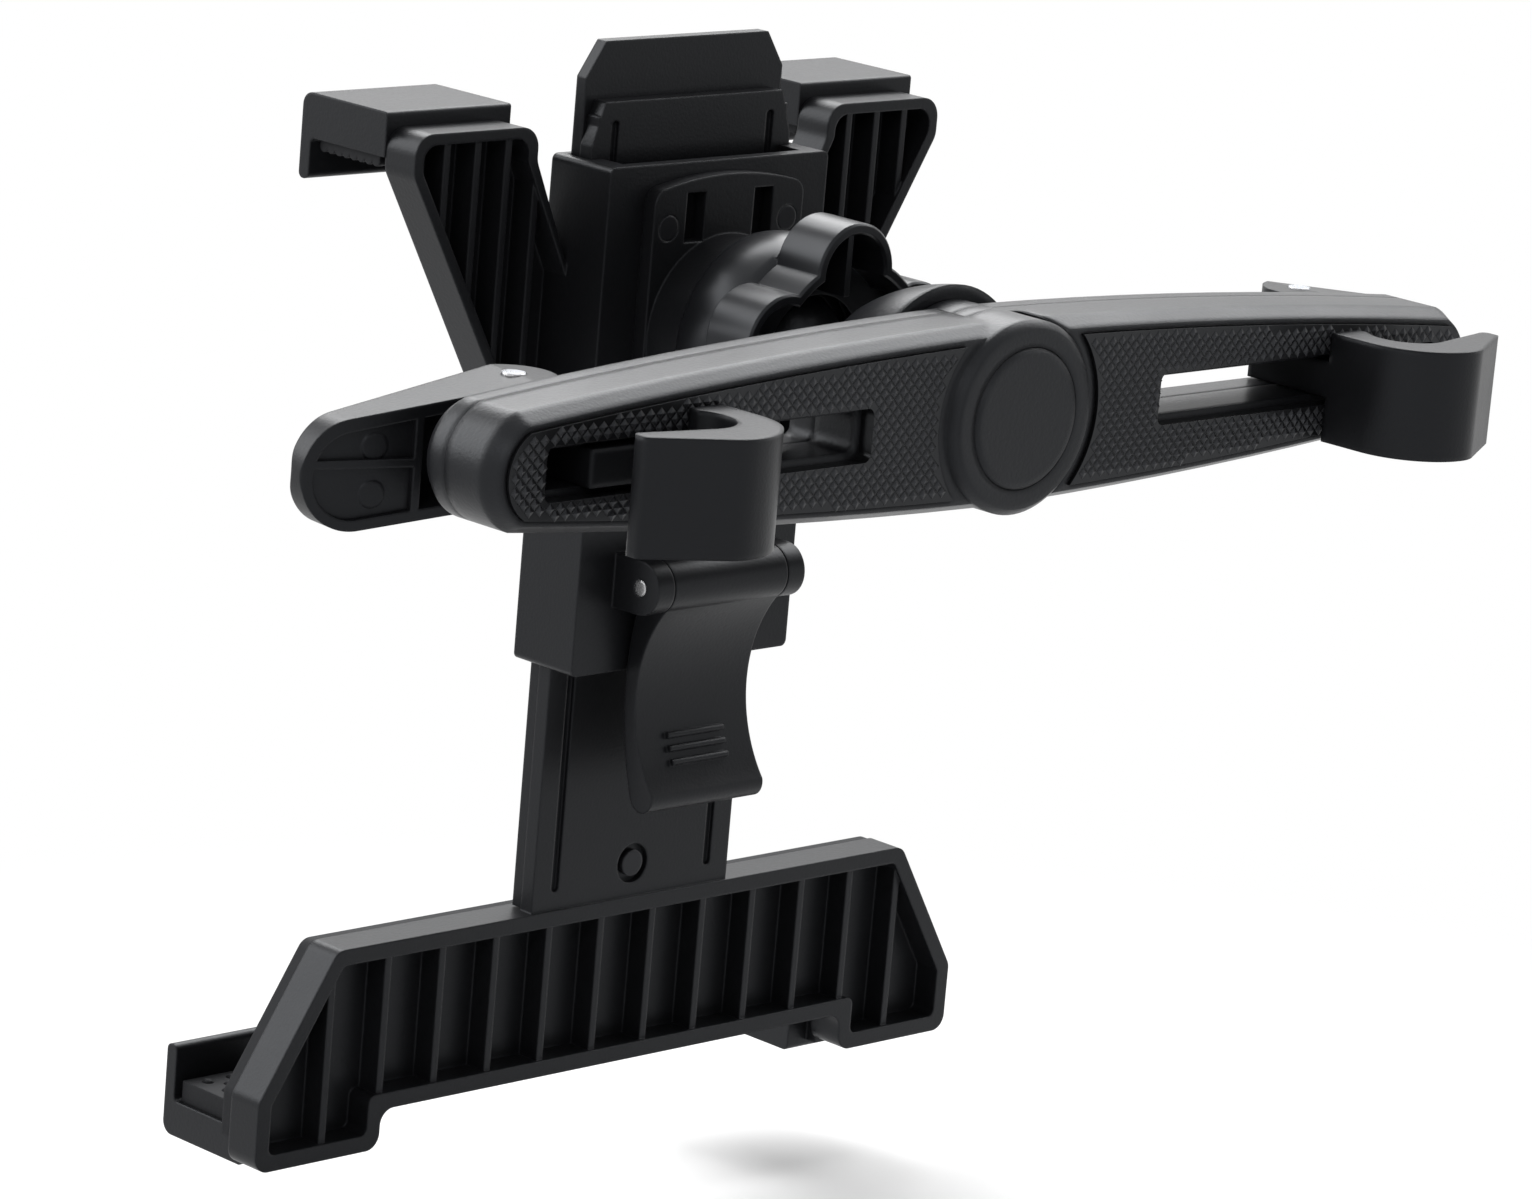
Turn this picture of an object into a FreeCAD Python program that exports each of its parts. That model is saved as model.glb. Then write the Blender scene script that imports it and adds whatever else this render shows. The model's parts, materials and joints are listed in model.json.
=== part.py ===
"""Tablet holder that clips on the two posts of a car headrest.

Frame: millimetres, +Z up, +Y away from the headrest towards the tablet, +X to the right
as seen from the headrest. The origin lies on the clamp's centre line, in the plane of the
two posts' axes and at the height of the arms' middle.
"""
import FreeCAD
import Part

import math
import os

from FreeCAD import Vector

# Clearances
RUNNING_FIT = 0.05
SEAT_FIT = 0.1
GAP = 0.3

# Headrest posts, as gripped at rest
POST_RADIUS = 7.0
POST_CLEARANCE = 0.1
LEFT_POST_X = -85.0
RIGHT_POST_X = 93.0

# Clamp arms
ARM_REACH = 121.0
ARM_ROOT_HEIGHT = 33.0
ARM_TIP_HEIGHT = 20.0
ARM_TIP_ROUND = 7.0
ARM_BULGE = 1.2
ARM_THICK = 18.0
ARM_BEVEL = 1.8
ARM_BEVEL_DEPTH = 3.4
ARM_RIM = 1.0
COVER_THICK = 6.0
COVER_BEVEL = 1.6
COVER_BEVEL_DEPTH = 2.4
INSERT_THICK = 3.0
INSERT_PROUD = 0.6
SLOT_INNER = 37.0
SLOT_TIP_MARGIN = 12.0
SLOT_HEIGHT = 7.0
SLOT_CORNER = 1.5
INSERT_SLOT_MARGIN = 1.2

# Lap joint at the centre
DISC_RADIUS = 17.2
DISC_PROUD = 2.1
DISC_BEVEL = 1.2
LAP_DEPTH = 8.2
LAP_CLEARANCE = 0.5
TONGUE_RADIUS = 17.0
INSERT_DISC_GAP = 2.6
CAP_RADIUS = 12.5
CAP_THICK = 2.7
CAP_PROUD = 0.5
CAP_BEVEL = 0.6
SCREW_RADIUS = 3.0
SCREW_HEAD_RADIUS = 5.5
SCREW_HEAD_HEIGHT = 3.6
SCREW_BITE = 12.0

# Hooks
HOOK_HEIGHT = 20.0
HOOK_DROP = 1.4
HOOK_WALL = 5.6
HOOK_CROWN = 8.5
HOOK_HEEL_ROUND = 13.0
HOOK_CROWN_ROUND = 8.0
HOOK_FINGER = 17.4
HOOK_TIP_THICK = 3.6
HOOK_MOUTH = 10.7
HOOK_WRAP_START = 78.0
HOOK_WRAP_END = 220.0

# Cam levers
PIN_OFFSET = 9.0
PIN_RADIUS = 2.0
PIN_PROUD = 0.2
LUG_RADIUS = 6.0
CAM_RADIUS = 7.5
CAM_THROW = 0.5
LEVER_HALF_HEIGHT = 10.0
LEVER_LENGTH = 41.0
LEVER_SPLAY = 8.0
LEVER_DROP = 6.0
PADDLE_HALF_HEIGHT = 9.4
PADDLE_THICK = 4.0
LEVER_WALL = 2.0
LEVER_RIB = 1.4
LEVER_RIB_AT = 20.0

# Ball joint
BALL_Y = 67.0
BALL_RADIUS = 12.0
SEAT_THICK = 1.85
SEAT_PAST_EQUATOR = 4.4
NECK_RADIUS = 6.0
FOOT_RADIUS = 20.0
FOOT_RIM_RADIUS = 15.5
FOOT_LENGTH = 16.5
SOCKET_WALL = 1.95
COLLAR_RADIUS = 18.0
COLLAR_LENGTH = 9.4
SOCKET_SLITS = 4
SOCKET_SLIT_WIDTH = 1.6
NUT_SPHERE_RADIUS = 21.0
NUT_LOBES = 6
NUT_LOBE_REACH = 26.0
NUT_LOBE_RADIUS = 7.5
NUT_SKIRT = 11.0
NUT_FRONT_DEPTH = 18.0
NUT_WALL = 2.0
NUT_WEB = 1.3
NUT_MOUTH_RADIUS = 14.0
PLATE_THICK = 3.0
PLATE_HALF_WIDTH = 18.4
PLATE_HALF_HEIGHT = 26.4
PLATE_ARCH = 2.5
PLATE_CORNER = 3.0
PLATE_SLOT_X = (6.0, 10.7)
PLATE_SLOT_Z = (17.0, 26.0)
PLATE_SCREW_X = 14.7
PLATE_SCREW_Z = 19.9
PLATE_SCREW_RADIUS = 1.2
PLATE_SCREW_HEAD = 2.3
PLATE_SCREW_HEAD_HEIGHT = 1.2
PLATE_SCREW_LENGTH = 5.0

# Guide housing
HOUSING_FRONT_Y = 85.0
HOUSING_HALF_WIDTH = 27.0
HOUSING_DEPTH = 15.5
HOUSING_TOP_Z = 30.9
HOUSING_BOTTOM_Z = -62.1
HOUSING_CORNER = 1.2
HOUSING_FRONT_WALL = 2.5
HOUSING_SIDE_WALL = 5.0
HOUSING_FLOOR = 2.5

# Wings, open towards the headrest
WING_FRONT_Y = 94.6
WING_TOP_Z = 37.2
WING_OUTER_X = 64.8
WING_INNER_X = 36.0
WING_KNEE_Z = 29.9
WING_NOTCH_TOP_Z = 31.0
WING_NOTCH_BOTTOM_Z = 11.6
WING_FOOT_Z = -37.0
WING_CORNER = 4.0
WING_WALL = 2.0
WING_RIBS = 4
WING_RIB = 1.4
WING_RIB_FIRST_X = 35.1
WING_RIB_PITCH = 7.2
WING_RIB_SETBACK = 0.8

# Plane of the tablet's back and the claws round its edge
TABLET_Y = 102.5
CLAW_DEPTH = 22.5
CLAW_LIP = 2.6
CLAW_CORNER = 2.4
UPPER_CLAW_X = (36.0, 65.0)
UPPER_CLAW_TOP_Z = 39.9
UPPER_CLAW_ROOF = 8.0
UPPER_CLAW_LIP_REACH = 15.5
UPPER_PAD_PROUD = 2.3
UPPER_PAD_DEPTH = 4.0
UPPER_PAD_WAVES = 8
LOWER_CLAW_X = (55.0, 82.0)
LOWER_CLAW_BOTTOM_Z = -150.5
LOWER_CLAW_FLOOR = 6.5
LOWER_CLAW_LIP_REACH = 17.0
LOWER_PAD_THICK = 4.0
LOWER_PAD_INSET = 2.0
LOWER_TENON_INSET = 5.0
LOWER_TENON_HEIGHT = 5.0

# Slide blade and lower bar
BLADE_HALF_WIDTH = 24.6
BLADE_FRONT_Y = 93.0
BLADE_THICK = 3.1
BLADE_TOP_Z = 41.0
BLADE_TOP_HALF_WIDTH = 22.0
BLADE_SHOULDER_Z = 33.0
BLADE_GROOVE_X = 19.2
BLADE_GROOVE_WIDTH = 1.8
BLADE_GROOVE_DEPTH = 0.9
BLADE_GROOVE_END = 3.5
BACKING_THICK = 2.5
BACKING_TOP_Z = 51.4
BACKING_TOP_HALF_WIDTH = 20.0
BACKING_CHAMFER_Z = 45.0
BLADE_SCREW_Z = -102.6
BLADE_SCREW_RADIUS = 1.5
BLADE_SCREW_HEAD = 2.5
BLADE_SCREW_HEAD_HEIGHT = 1.4
BLADE_SCREW_WELL = 3.8
CATCH_Z = 38.5
CATCH_HEIGHT = 3.0
CATCH_PROUD = 1.4
BAR_FRONT_Y = 92.4
BAR_DEPTH = 7.6
BAR_TOP_Z = -109.0
BAR_TOP_HALF_WIDTH = 71.4
BAR_HALF_WIDTH = 87.6
BAR_KNEE_Z = -135.0
BAR_BELLY_Z = -140.8
BAR_FOOT_Z = -148.2
BAR_FOOT_INNER_X = 58.5
BAR_CORNER = 3.0
BAR_WALL = 3.0
BAR_BACK_WALL = 2.0
BAR_RIB = 1.5
BAR_RIB_PITCH = 13.0
BAR_RIBS_EACH_SIDE = 6
BAR_RIB_SETBACK = 0.8
BAR_PAD_BOTTOM_Z = -143.4

# Lock lever on the housing's lower front
LOCK_PIN_Y = 78.1
LOCK_PIN_Z = -44.8
LOCK_PIN_RADIUS = 1.5
LOCK_HALF_WIDTH = 14.0
LOCK_BARREL = 5.0
LOCK_EAR_WIDTH = 4.0
LOCK_LENGTH = 42.5
LOCK_HOLLOW = 6.2
LOCK_THICK = 3.0
LOCK_END_THICK = 5.4
LOCK_TOE_HALF_WIDTH = 8.0
LOCK_TOE_THICK = 5.0
LOCK_GRIPS = 3
LOCK_GRIP_HALF_LENGTH = 7.0
LOCK_GRIP_PITCH = 2.3
LOCK_GRIP_RADIUS = 0.6
LOCK_GRIP_FIRST = 29.2

# Places that follow from the sizes above
POCKET_RADIUS = POST_RADIUS + POST_CLEARANCE
FACE_Y = POCKET_RADIUS
ARM_FRONT_Y = FACE_Y + INSERT_PROUD
ARM_BACK_Y = ARM_FRONT_Y + ARM_THICK
COVER_Y = ARM_BACK_Y - COVER_THICK
DISC_FRONT_Y = ARM_FRONT_Y - DISC_PROUD
LAP_Y = ARM_FRONT_Y + LAP_DEPTH
SLOT_OUTER = ARM_REACH - SLOT_TIP_MARGIN
PIN_Y = ARM_BACK_Y + GAP + CAM_RADIUS + CAM_THROW
FOOT_Y = ARM_BACK_Y + GAP
SEAT_INNER = BALL_RADIUS + RUNNING_FIT
SEAT_OUTER = SEAT_INNER + SEAT_THICK
SOCKET_INNER = SEAT_OUTER + RUNNING_FIT
THREAD_RADIUS = SOCKET_INNER + SOCKET_WALL
PLATE_FRONT_Y = HOUSING_FRONT_Y - PLATE_THICK
COLLAR_FRONT_Y = PLATE_FRONT_Y - COLLAR_LENGTH
SOCKET_FRONT_Y = BALL_Y - SEAT_PAST_EQUATOR
NUT_BACK_Y = COLLAR_FRONT_Y - GAP
NUT_FRONT_Y = BALL_Y - NUT_FRONT_DEPTH
HOUSING_BACK_Y = HOUSING_FRONT_Y + HOUSING_DEPTH
BLADE_BACK_Y = BLADE_FRONT_Y + BLADE_THICK
BACKING_BACK_Y = BLADE_BACK_Y + BACKING_THICK
BAR_BACK_Y = BAR_FRONT_Y + BAR_DEPTH
LIP_Y = TABLET_Y + CLAW_DEPTH
FLOOR_Z = LOWER_CLAW_BOTTOM_Z + LOWER_CLAW_FLOOR
ROOF_Z = UPPER_CLAW_TOP_Z - UPPER_CLAW_ROOF


def on_front(y):
    """Placing function for an outline drawn in X and Z at a given Y."""
    return lambda u, v: Vector(u, y, v)


def on_plan(z):
    """Placing function for an outline drawn in X and Y at a given Z."""
    return lambda u, v: Vector(u, v, z)


def on_side(x):
    """Placing function for an outline drawn in Y and Z at a given X."""
    return lambda u, v: Vector(x, u, v)


def loop(corners, place):
    """Closed wire through (u, v, radius) corners, each rounded by a tangent arc."""
    stops = []
    count = len(corners)
    for index, (u, v, radius) in enumerate(corners):
        before = corners[index - 1]
        after = corners[(index + 1) % count]
        corner = Vector(u, v, 0)
        back = Vector(before[0] - u, before[1] - v, 0).normalize()
        ahead = Vector(after[0] - u, after[1] - v, 0).normalize()
        half = back.getAngle(ahead) / 2
        if radius == 0:
            stops.append((corner, corner, corner))
            continue
        run = radius / math.tan(half)
        middle = (back + ahead).normalize() * (radius / math.sin(half) - radius)
        stops.append((corner + back * run, corner + middle, corner + ahead * run))
    edges = []
    for index, (start, middle, end) in enumerate(stops):
        if start != end:
            arc = [place(point.x, point.y) for point in (start, middle, end)]
            edges.append(Part.Arc(*arc).toShape())
        target = stops[(index + 1) % count][0]
        if end.distanceToPoint(target) > 1e-6:
            edges.append(Part.makeLine(place(end.x, end.y), place(target.x, target.y)))
    return Part.Wire(edges)


def prism(corners, place, run):
    """Solid made by pushing a rounded outline along a vector."""
    return Part.Face(loop(corners, place)).extrude(run)


def box(x, y, z):
    """Block between the given (low, high) pairs."""
    return Part.makeBox(x[1] - x[0], y[1] - y[0], z[1] - z[0], Vector(x[0], y[0], z[0]))


def rod(radius, start, end):
    """Round bar between two points."""
    line = end - start
    return Part.makeCylinder(radius, line.Length, start, line)


def along_y(radius, y, x=0.0, z=0.0):
    """Round bar along Y between a (low, high) pair."""
    return rod(radius, Vector(x, y[0], z), Vector(x, y[1], z))


def along_z(radius, z, x, y):
    """Round bar along Z between a (low, high) pair."""
    return rod(radius, Vector(x, y, z[0]), Vector(x, y, z[1]))


def along_x(radius, x, y, z):
    """Round bar along X between a (low, high) pair."""
    return rod(radius, Vector(x[0], y, z), Vector(x[1], y, z))


def turned(profile):
    """Solid of revolution about the Y axis from a closed (y, radius) profile."""
    points = [Vector(radius, y, 0) for y, radius in profile]
    face = Part.Face(Part.makePolygon(points + points[:1]))
    return face.revolve(Vector(0, 0, 0), Vector(0, 1, 0), 360)


def ball(radius):
    """Sphere about the ball joint's centre, with its poles on the Y axis."""
    return Part.makeSphere(radius, Vector(0, BALL_Y, 0), Vector(0, 1, 0))


def mirrored(shape):
    """The same piece on the other side of the middle plane."""
    return shape.mirror(Vector(0, 0, 0), Vector(1, 0, 0))


def joined(first, *others):
    """Union without the seams between faces in one plane."""
    return first.fuse(list(others)).removeSplitter()


def rounded_box(half_width, z, corner, y):
    """Upright slab, symmetrical about the middle plane, with rounded corners."""
    low, high = z
    corners = [(-half_width, low, corner), (half_width, low, corner)]
    corners += [(half_width, high, corner), (-half_width, high, corner)]
    return prism(corners, on_front(y[0]), Vector(0, y[1] - y[0], 0))


# Clamp arms

def arm_wire(y, inset):
    """Outline of the right arm from the centre line outwards, moved in by an inset."""
    root = ARM_ROOT_HEIGHT / 2 - inset
    tip = ARM_TIP_HEIGHT / 2 - inset
    reach = ARM_REACH - inset
    tip_x = ARM_REACH - ARM_TIP_ROUND
    mid_height = (root + tip) / 2 + ARM_BULGE
    place = on_front(y)
    top = Part.Arc(place(0, root), place(tip_x / 2, mid_height), place(tip_x, tip))
    nose = Part.Arc(place(tip_x, tip), place(reach, 0), place(tip_x, -tip))
    under = Part.Arc(place(tip_x, -tip), place(tip_x / 2, -mid_height), place(0, -root))
    back = Part.makeLine(place(0, -root), place(0, root))
    return Part.Wire([top.toShape(), nose.toShape(), under.toShape(), back])


def arm_slab(y, inset=0.0):
    """Straight length of the right arm's outline between a (low, high) pair."""
    return Part.Face(arm_wire(y[0], inset)).extrude(Vector(0, y[1] - y[0], 0))


def arm_taper(y, insets):
    """Bevelled length of the right arm, whose outline moves in from one end to the other."""
    return Part.makeLoft([arm_wire(y[0], insets[0]), arm_wire(y[1], insets[1])], True, True)


def arm_slot(y, margin=0.0):
    """Slot that the hook's foot slides in."""
    half = SLOT_HEIGHT / 2 + margin
    corner = SLOT_CORNER
    inner = SLOT_INNER - margin
    outer = SLOT_OUTER + margin
    corners = [(inner, -half, corner), (outer, -half, corner)]
    corners += [(outer, half, corner), (inner, half, corner)]
    return prism(corners, on_front(y[0]), Vector(0, y[1] - y[0], 0))


def insert_slab(y, fit=0.0):
    """Space of the knurled insert, hollowed round the centre disc."""
    slab = arm_slab(y, ARM_BEVEL + ARM_RIM - fit)
    return slab.cut(along_y(DISC_RADIUS + INSERT_DISC_GAP - fit, y))


def arm_front():
    """Right arm's front shell before the lap is cut."""
    knee = ARM_FRONT_Y + ARM_BEVEL_DEPTH
    shell = joined(arm_taper((ARM_FRONT_Y, knee), (ARM_BEVEL, 0.0)), arm_slab((knee, COVER_Y)))
    recess = insert_slab((ARM_FRONT_Y - INSERT_PROUD, FACE_Y + INSERT_THICK), SEAT_FIT)
    return shell.cut([recess, arm_slot((ARM_FRONT_Y, COVER_Y))])


def arm_cover():
    """Right arm's back shell before the lap is cut."""
    knee = ARM_BACK_Y - COVER_BEVEL_DEPTH
    shell = joined(arm_slab((COVER_Y, knee)), arm_taper((knee, ARM_BACK_Y), (0.0, COVER_BEVEL)))
    return shell.cut(arm_slot((COVER_Y, ARM_BACK_Y)))


def screw_bore():
    """Running bore of the centre screw through everything it holds."""
    return along_y(SCREW_RADIUS + RUNNING_FIT, (DISC_FRONT_Y, FOOT_Y + SCREW_BITE + GAP))


def left_arm():
    """Front shell that carries the centre disc over the right arm's tongue."""
    shell = mirrored(arm_front())
    tongue_space = along_y(TONGUE_RADIUS + LAP_CLEARANCE, (LAP_Y, ARM_BACK_Y))
    disc_edge = DISC_RADIUS - DISC_BEVEL
    bevel_y = DISC_FRONT_Y + DISC_BEVEL
    disc = turned([(DISC_FRONT_Y, 0), (DISC_FRONT_Y, disc_edge), (bevel_y, DISC_RADIUS),
                   (LAP_Y, DISC_RADIUS), (LAP_Y, 0)])
    cap_space = along_y(CAP_RADIUS + SEAT_FIT, (DISC_FRONT_Y, cap_back_y()))
    head_space = along_y(SCREW_HEAD_RADIUS + SEAT_FIT, (DISC_FRONT_Y, cap_back_y() + SCREW_HEAD_HEIGHT))
    return joined(shell.cut(tongue_space), disc).cut([cap_space, head_space, screw_bore()])


def right_arm():
    """Front shell whose tongue passes under the centre disc."""
    disc_space = along_y(DISC_RADIUS + LAP_CLEARANCE, (DISC_FRONT_Y, LAP_Y + GAP))
    tongue = along_y(TONGUE_RADIUS, (LAP_Y + GAP, COVER_Y))
    return joined(arm_front().cut(disc_space), tongue).cut(screw_bore())


def left_cover():
    """Back shell of the left arm, cut away round the right arm's tongue."""
    return mirrored(arm_cover()).cut(along_y(TONGUE_RADIUS + LAP_CLEARANCE, (COVER_Y, ARM_BACK_Y)))


def right_cover():
    """Back shell of the right arm with the round end that the ball stem's foot sits on."""
    return joined(arm_cover(), along_y(TONGUE_RADIUS, (COVER_Y, ARM_BACK_Y))).cut(screw_bore())


def arm_insert():
    """Right arm's insert, with its wider opening round the slot."""
    y = (FACE_Y, FACE_Y + INSERT_THICK)
    return insert_slab(y).cut(arm_slot(y, INSERT_SLOT_MARGIN))


def cap_back_y():
    """Plane of the centre cap's back."""
    return DISC_FRONT_Y - CAP_PROUD + CAP_THICK


def centre_cap():
    """Smooth cap over the centre screw."""
    front = DISC_FRONT_Y - CAP_PROUD
    return turned([(front, 0), (front, CAP_RADIUS - CAP_BEVEL), (front + CAP_BEVEL, CAP_RADIUS),
                   (cap_back_y(), CAP_RADIUS), (cap_back_y(), 0)])


def centre_screw():
    """Pivot screw of the arms, which ends in the ball stem's foot."""
    seat = cap_back_y() + SCREW_HEAD_HEIGHT
    head = along_y(SCREW_HEAD_RADIUS, (cap_back_y(), seat))
    return joined(head, along_y(SCREW_RADIUS, (cap_back_y(), FOOT_Y + SCREW_BITE)))


# Hooks and cam levers, drawn for the right post and mirrored for the left one

def hook(post_x):
    """J hook with a flat foot in the arm's slot and a lug for the cam lever's pin."""
    inner = post_x - POCKET_RADIUS - HOOK_WALL
    crown = -POCKET_RADIUS - HOOK_CROWN
    root = FACE_Y - GAP
    tip_x = post_x + HOOK_FINGER
    tip_y = FACE_Y - HOOK_MOUTH
    start = math.radians(HOOK_WRAP_START)
    end = math.radians(HOOK_WRAP_END)
    wrap_start = (post_x + POCKET_RADIUS * math.cos(start), -POCKET_RADIUS * math.sin(start), 0)
    wrap_end = (post_x + POCKET_RADIUS * math.cos(end), -POCKET_RADIUS * math.sin(end), 0)
    tip_round = HOOK_TIP_THICK / 3
    outline = [(inner, root, 0), (inner, crown, HOOK_HEEL_ROUND), (post_x + 2.4, crown, HOOK_CROWN_ROUND),
               (tip_x, tip_y - HOOK_TIP_THICK, tip_round), (tip_x, tip_y, tip_round),
               wrap_start, wrap_end, (wrap_end[0], root, 0)]
    z = (-HOOK_DROP - HOOK_HEIGHT / 2, -HOOK_DROP + HOOK_HEIGHT / 2)
    body = prism(outline, on_plan(z[0]), Vector(0, 0, HOOK_HEIGHT))
    body = body.cut(along_z(POCKET_RADIUS, z, post_x, 0))
    half = SLOT_HEIGHT / 2 - GAP
    pin_x = post_x + PIN_OFFSET
    foot = box((inner, pin_x + LUG_RADIUS), (FACE_Y + GAP, ARM_BACK_Y), (-half, half))
    neck = box((inner, wrap_end[0]), (root, FACE_Y + GAP), (-half, half))
    lug_stem = box((pin_x - LUG_RADIUS, pin_x + LUG_RADIUS), (ARM_BACK_Y, PIN_Y), (-half, half))
    lug = along_z(LUG_RADIUS, (-half, half), pin_x, PIN_Y)
    bore = along_z(PIN_RADIUS + RUNNING_FIT, (-half, half), pin_x, PIN_Y)
    return joined(body, neck, foot, lug_stem, lug).cut(bore)


def lever_outline(inset, z_shift=0.0):
    """Side view of the cam lever from the pin outwards: level hub, drooping round paddle."""
    half = LEVER_HALF_HEIGHT - inset
    paddle = PADDLE_HALF_HEIGHT - inset
    end = LEVER_LENGTH - inset
    middle = z_shift - LEVER_DROP
    back = -CAM_RADIUS - CAM_THROW
    return [(back, -half, 0), (0, -half, 0), (end, middle - paddle, paddle * 0.98),
            (end, middle + paddle, paddle * 0.98), (0, half, 0), (back, half, 0)]


def lever(post_x):
    """Hollow cam lever, its hub forked over the hook's lug."""
    pin_x = post_x + PIN_OFFSET
    reach = CAM_RADIUS + CAM_THROW
    tall = 2 * LEVER_HALF_HEIGHT + 2 * LEVER_DROP
    near_end = CAM_THROW - PADDLE_THICK / 2
    plan = [(0, -reach + CAM_THROW, 0), (LEVER_LENGTH, near_end, 1), (LEVER_LENGTH, near_end + PADDLE_THICK, 1),
            (0, CAM_RADIUS - CAM_THROW, 0)]
    deep = Vector(0, 4 * reach, 0)
    hub = along_z(CAM_RADIUS, (-tall, tall), CAM_THROW, -CAM_THROW)
    blank = joined(prism(plan, on_plan(-tall), Vector(0, 0, 2 * tall)), hub)
    solid = blank.common(prism(lever_outline(0), on_front(-2 * reach), deep))
    pocket_plan = [(reach + LEVER_WALL, -2 * reach, 0), (LEVER_LENGTH, -2 * reach, 0),
                   (LEVER_LENGTH, near_end + PADDLE_THICK - LEVER_WALL, 0),
                   (reach + LEVER_WALL, CAM_RADIUS - CAM_THROW - LEVER_WALL - 1, 0)]
    pocket = prism(pocket_plan, on_plan(-tall), Vector(0, 0, 2 * tall))
    pocket = pocket.common(prism(lever_outline(LEVER_WALL), on_front(-2 * reach), deep))
    rib_slope = -LEVER_DROP * LEVER_RIB_AT / LEVER_LENGTH
    upright = box((LEVER_RIB_AT, LEVER_RIB_AT + LEVER_RIB), (-2 * reach, 2 * reach), (-tall, tall))
    level = box((LEVER_RIB_AT, LEVER_LENGTH), (-2 * reach, 2 * reach), (0, LEVER_RIB))
    level.translate(Vector(0, 0, rib_slope - LEVER_RIB / 2))
    ribs = solid.common(joined(upright, level))
    shell = joined(solid.cut(pocket), ribs)
    fork = SLOT_HEIGHT / 2
    shell = shell.cut(box((-2 * reach, LUG_RADIUS + 2 * GAP), (-2 * reach, 2 * reach), (-fork, fork)))
    shell = shell.cut(along_z(PIN_RADIUS + RUNNING_FIT, (-tall, tall), 0, 0))
    shell.rotate(Vector(0, 0, 0), Vector(0, 0, 1), LEVER_SPLAY)
    shell.translate(Vector(pin_x, PIN_Y, 0))
    return shell


def lever_pin(post_x):
    """Steel pin through the lever's fork and the hook's lug."""
    half = LEVER_HALF_HEIGHT + PIN_PROUD
    return along_z(PIN_RADIUS, (-half, half), post_x + PIN_OFFSET, PIN_Y)


# Ball joint

def ball_stem():
    """Flared foot, neck and ball, turned as one piece."""
    rim = FOOT_Y + FOOT_LENGTH
    flare = rim - FOOT_LENGTH / 2
    waist = (FOOT_RADIUS + FOOT_RIM_RADIUS) / 2 - 1
    foot = turned([(FOOT_Y, 0), (FOOT_Y, FOOT_RADIUS), (FOOT_Y + 1.5, FOOT_RADIUS), (flare, waist),
                   (rim - 1, FOOT_RIM_RADIUS), (rim, FOOT_RIM_RADIUS - 1), (rim, 0)])
    neck = along_y(NECK_RADIUS, (rim - 1, BALL_Y))
    return joined(foot, neck, ball(BALL_RADIUS)).cut(screw_bore())


def ball_seat():
    """Friction cup that reaches a little past the ball's equator."""
    cup = ball(SEAT_OUTER).common(along_y(2 * SEAT_OUTER, (SOCKET_FRONT_Y, BALL_Y + SEAT_OUTER)))
    return cup.cut(ball(SEAT_INNER))


def ball_plate():
    """Socket plate: arched plate, collar and split threaded neck round the seat."""
    half = PLATE_HALF_WIDTH
    high = PLATE_HALF_HEIGHT
    place = on_front(PLATE_FRONT_Y)
    crown = high + PLATE_ARCH
    top = Part.Arc(place(half, high), place(0, crown), place(-half, high)).toShape()
    foot = Part.Arc(place(-half, -high), place(0, -crown), place(half, -high)).toShape()
    sides = [Part.makeLine(place(-half, high), place(-half, -high)),
             Part.makeLine(place(half, -high), place(half, high))]
    plate = Part.Face(Part.Wire([top, sides[0], foot, sides[1]])).extrude(Vector(0, PLATE_THICK, 0))
    upright = [edge for edge in plate.Edges if edge.BoundBox.YLength > PLATE_THICK / 2]
    plate = plate.makeFillet(PLATE_CORNER, upright)
    collar = along_y(COLLAR_RADIUS, (COLLAR_FRONT_Y, HOUSING_FRONT_Y))
    thread = along_y(THREAD_RADIUS, (SOCKET_FRONT_Y, HOUSING_FRONT_Y))
    socket = joined(collar, thread).cut(ball(SOCKET_INNER))
    throat = along_y(COLLAR_RADIUS, (PLATE_FRONT_Y, HOUSING_FRONT_Y))
    slits = []
    for index in range(SOCKET_SLITS):
        slit = box((-SOCKET_SLIT_WIDTH / 2, SOCKET_SLIT_WIDTH / 2), (SOCKET_FRONT_Y, COLLAR_FRONT_Y),
                   (0, 2 * THREAD_RADIUS))
        slit.rotate(Vector(0, 0, 0), Vector(0, 1, 0), (index + 0.5) * 360 / SOCKET_SLITS)
        slits.append(slit)
    windows = []
    for side in (-1, 1):
        x = sorted(side * edge for edge in PLATE_SLOT_X)
        windows.append(box(x, (PLATE_FRONT_Y, HOUSING_FRONT_Y), PLATE_SLOT_Z))
    heads = [along_y(PLATE_SCREW_HEAD + SEAT_FIT, (PLATE_FRONT_Y, PLATE_FRONT_Y + PLATE_SCREW_HEAD_HEIGHT), x, z)
             for x, z in plate_screw_places()]
    holes = [along_y(PLATE_SCREW_RADIUS + SEAT_FIT, (PLATE_FRONT_Y, HOUSING_FRONT_Y), x, z)
             for x, z in plate_screw_places()]
    return joined(plate.cut(throat), socket).cut(slits + windows + heads + holes)


def plate_screw_places():
    """Middles of the four plate screws, as (x, z)."""
    return [(x, z) for x in (-PLATE_SCREW_X, PLATE_SCREW_X) for z in (-PLATE_SCREW_Z, PLATE_SCREW_Z)]


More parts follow.
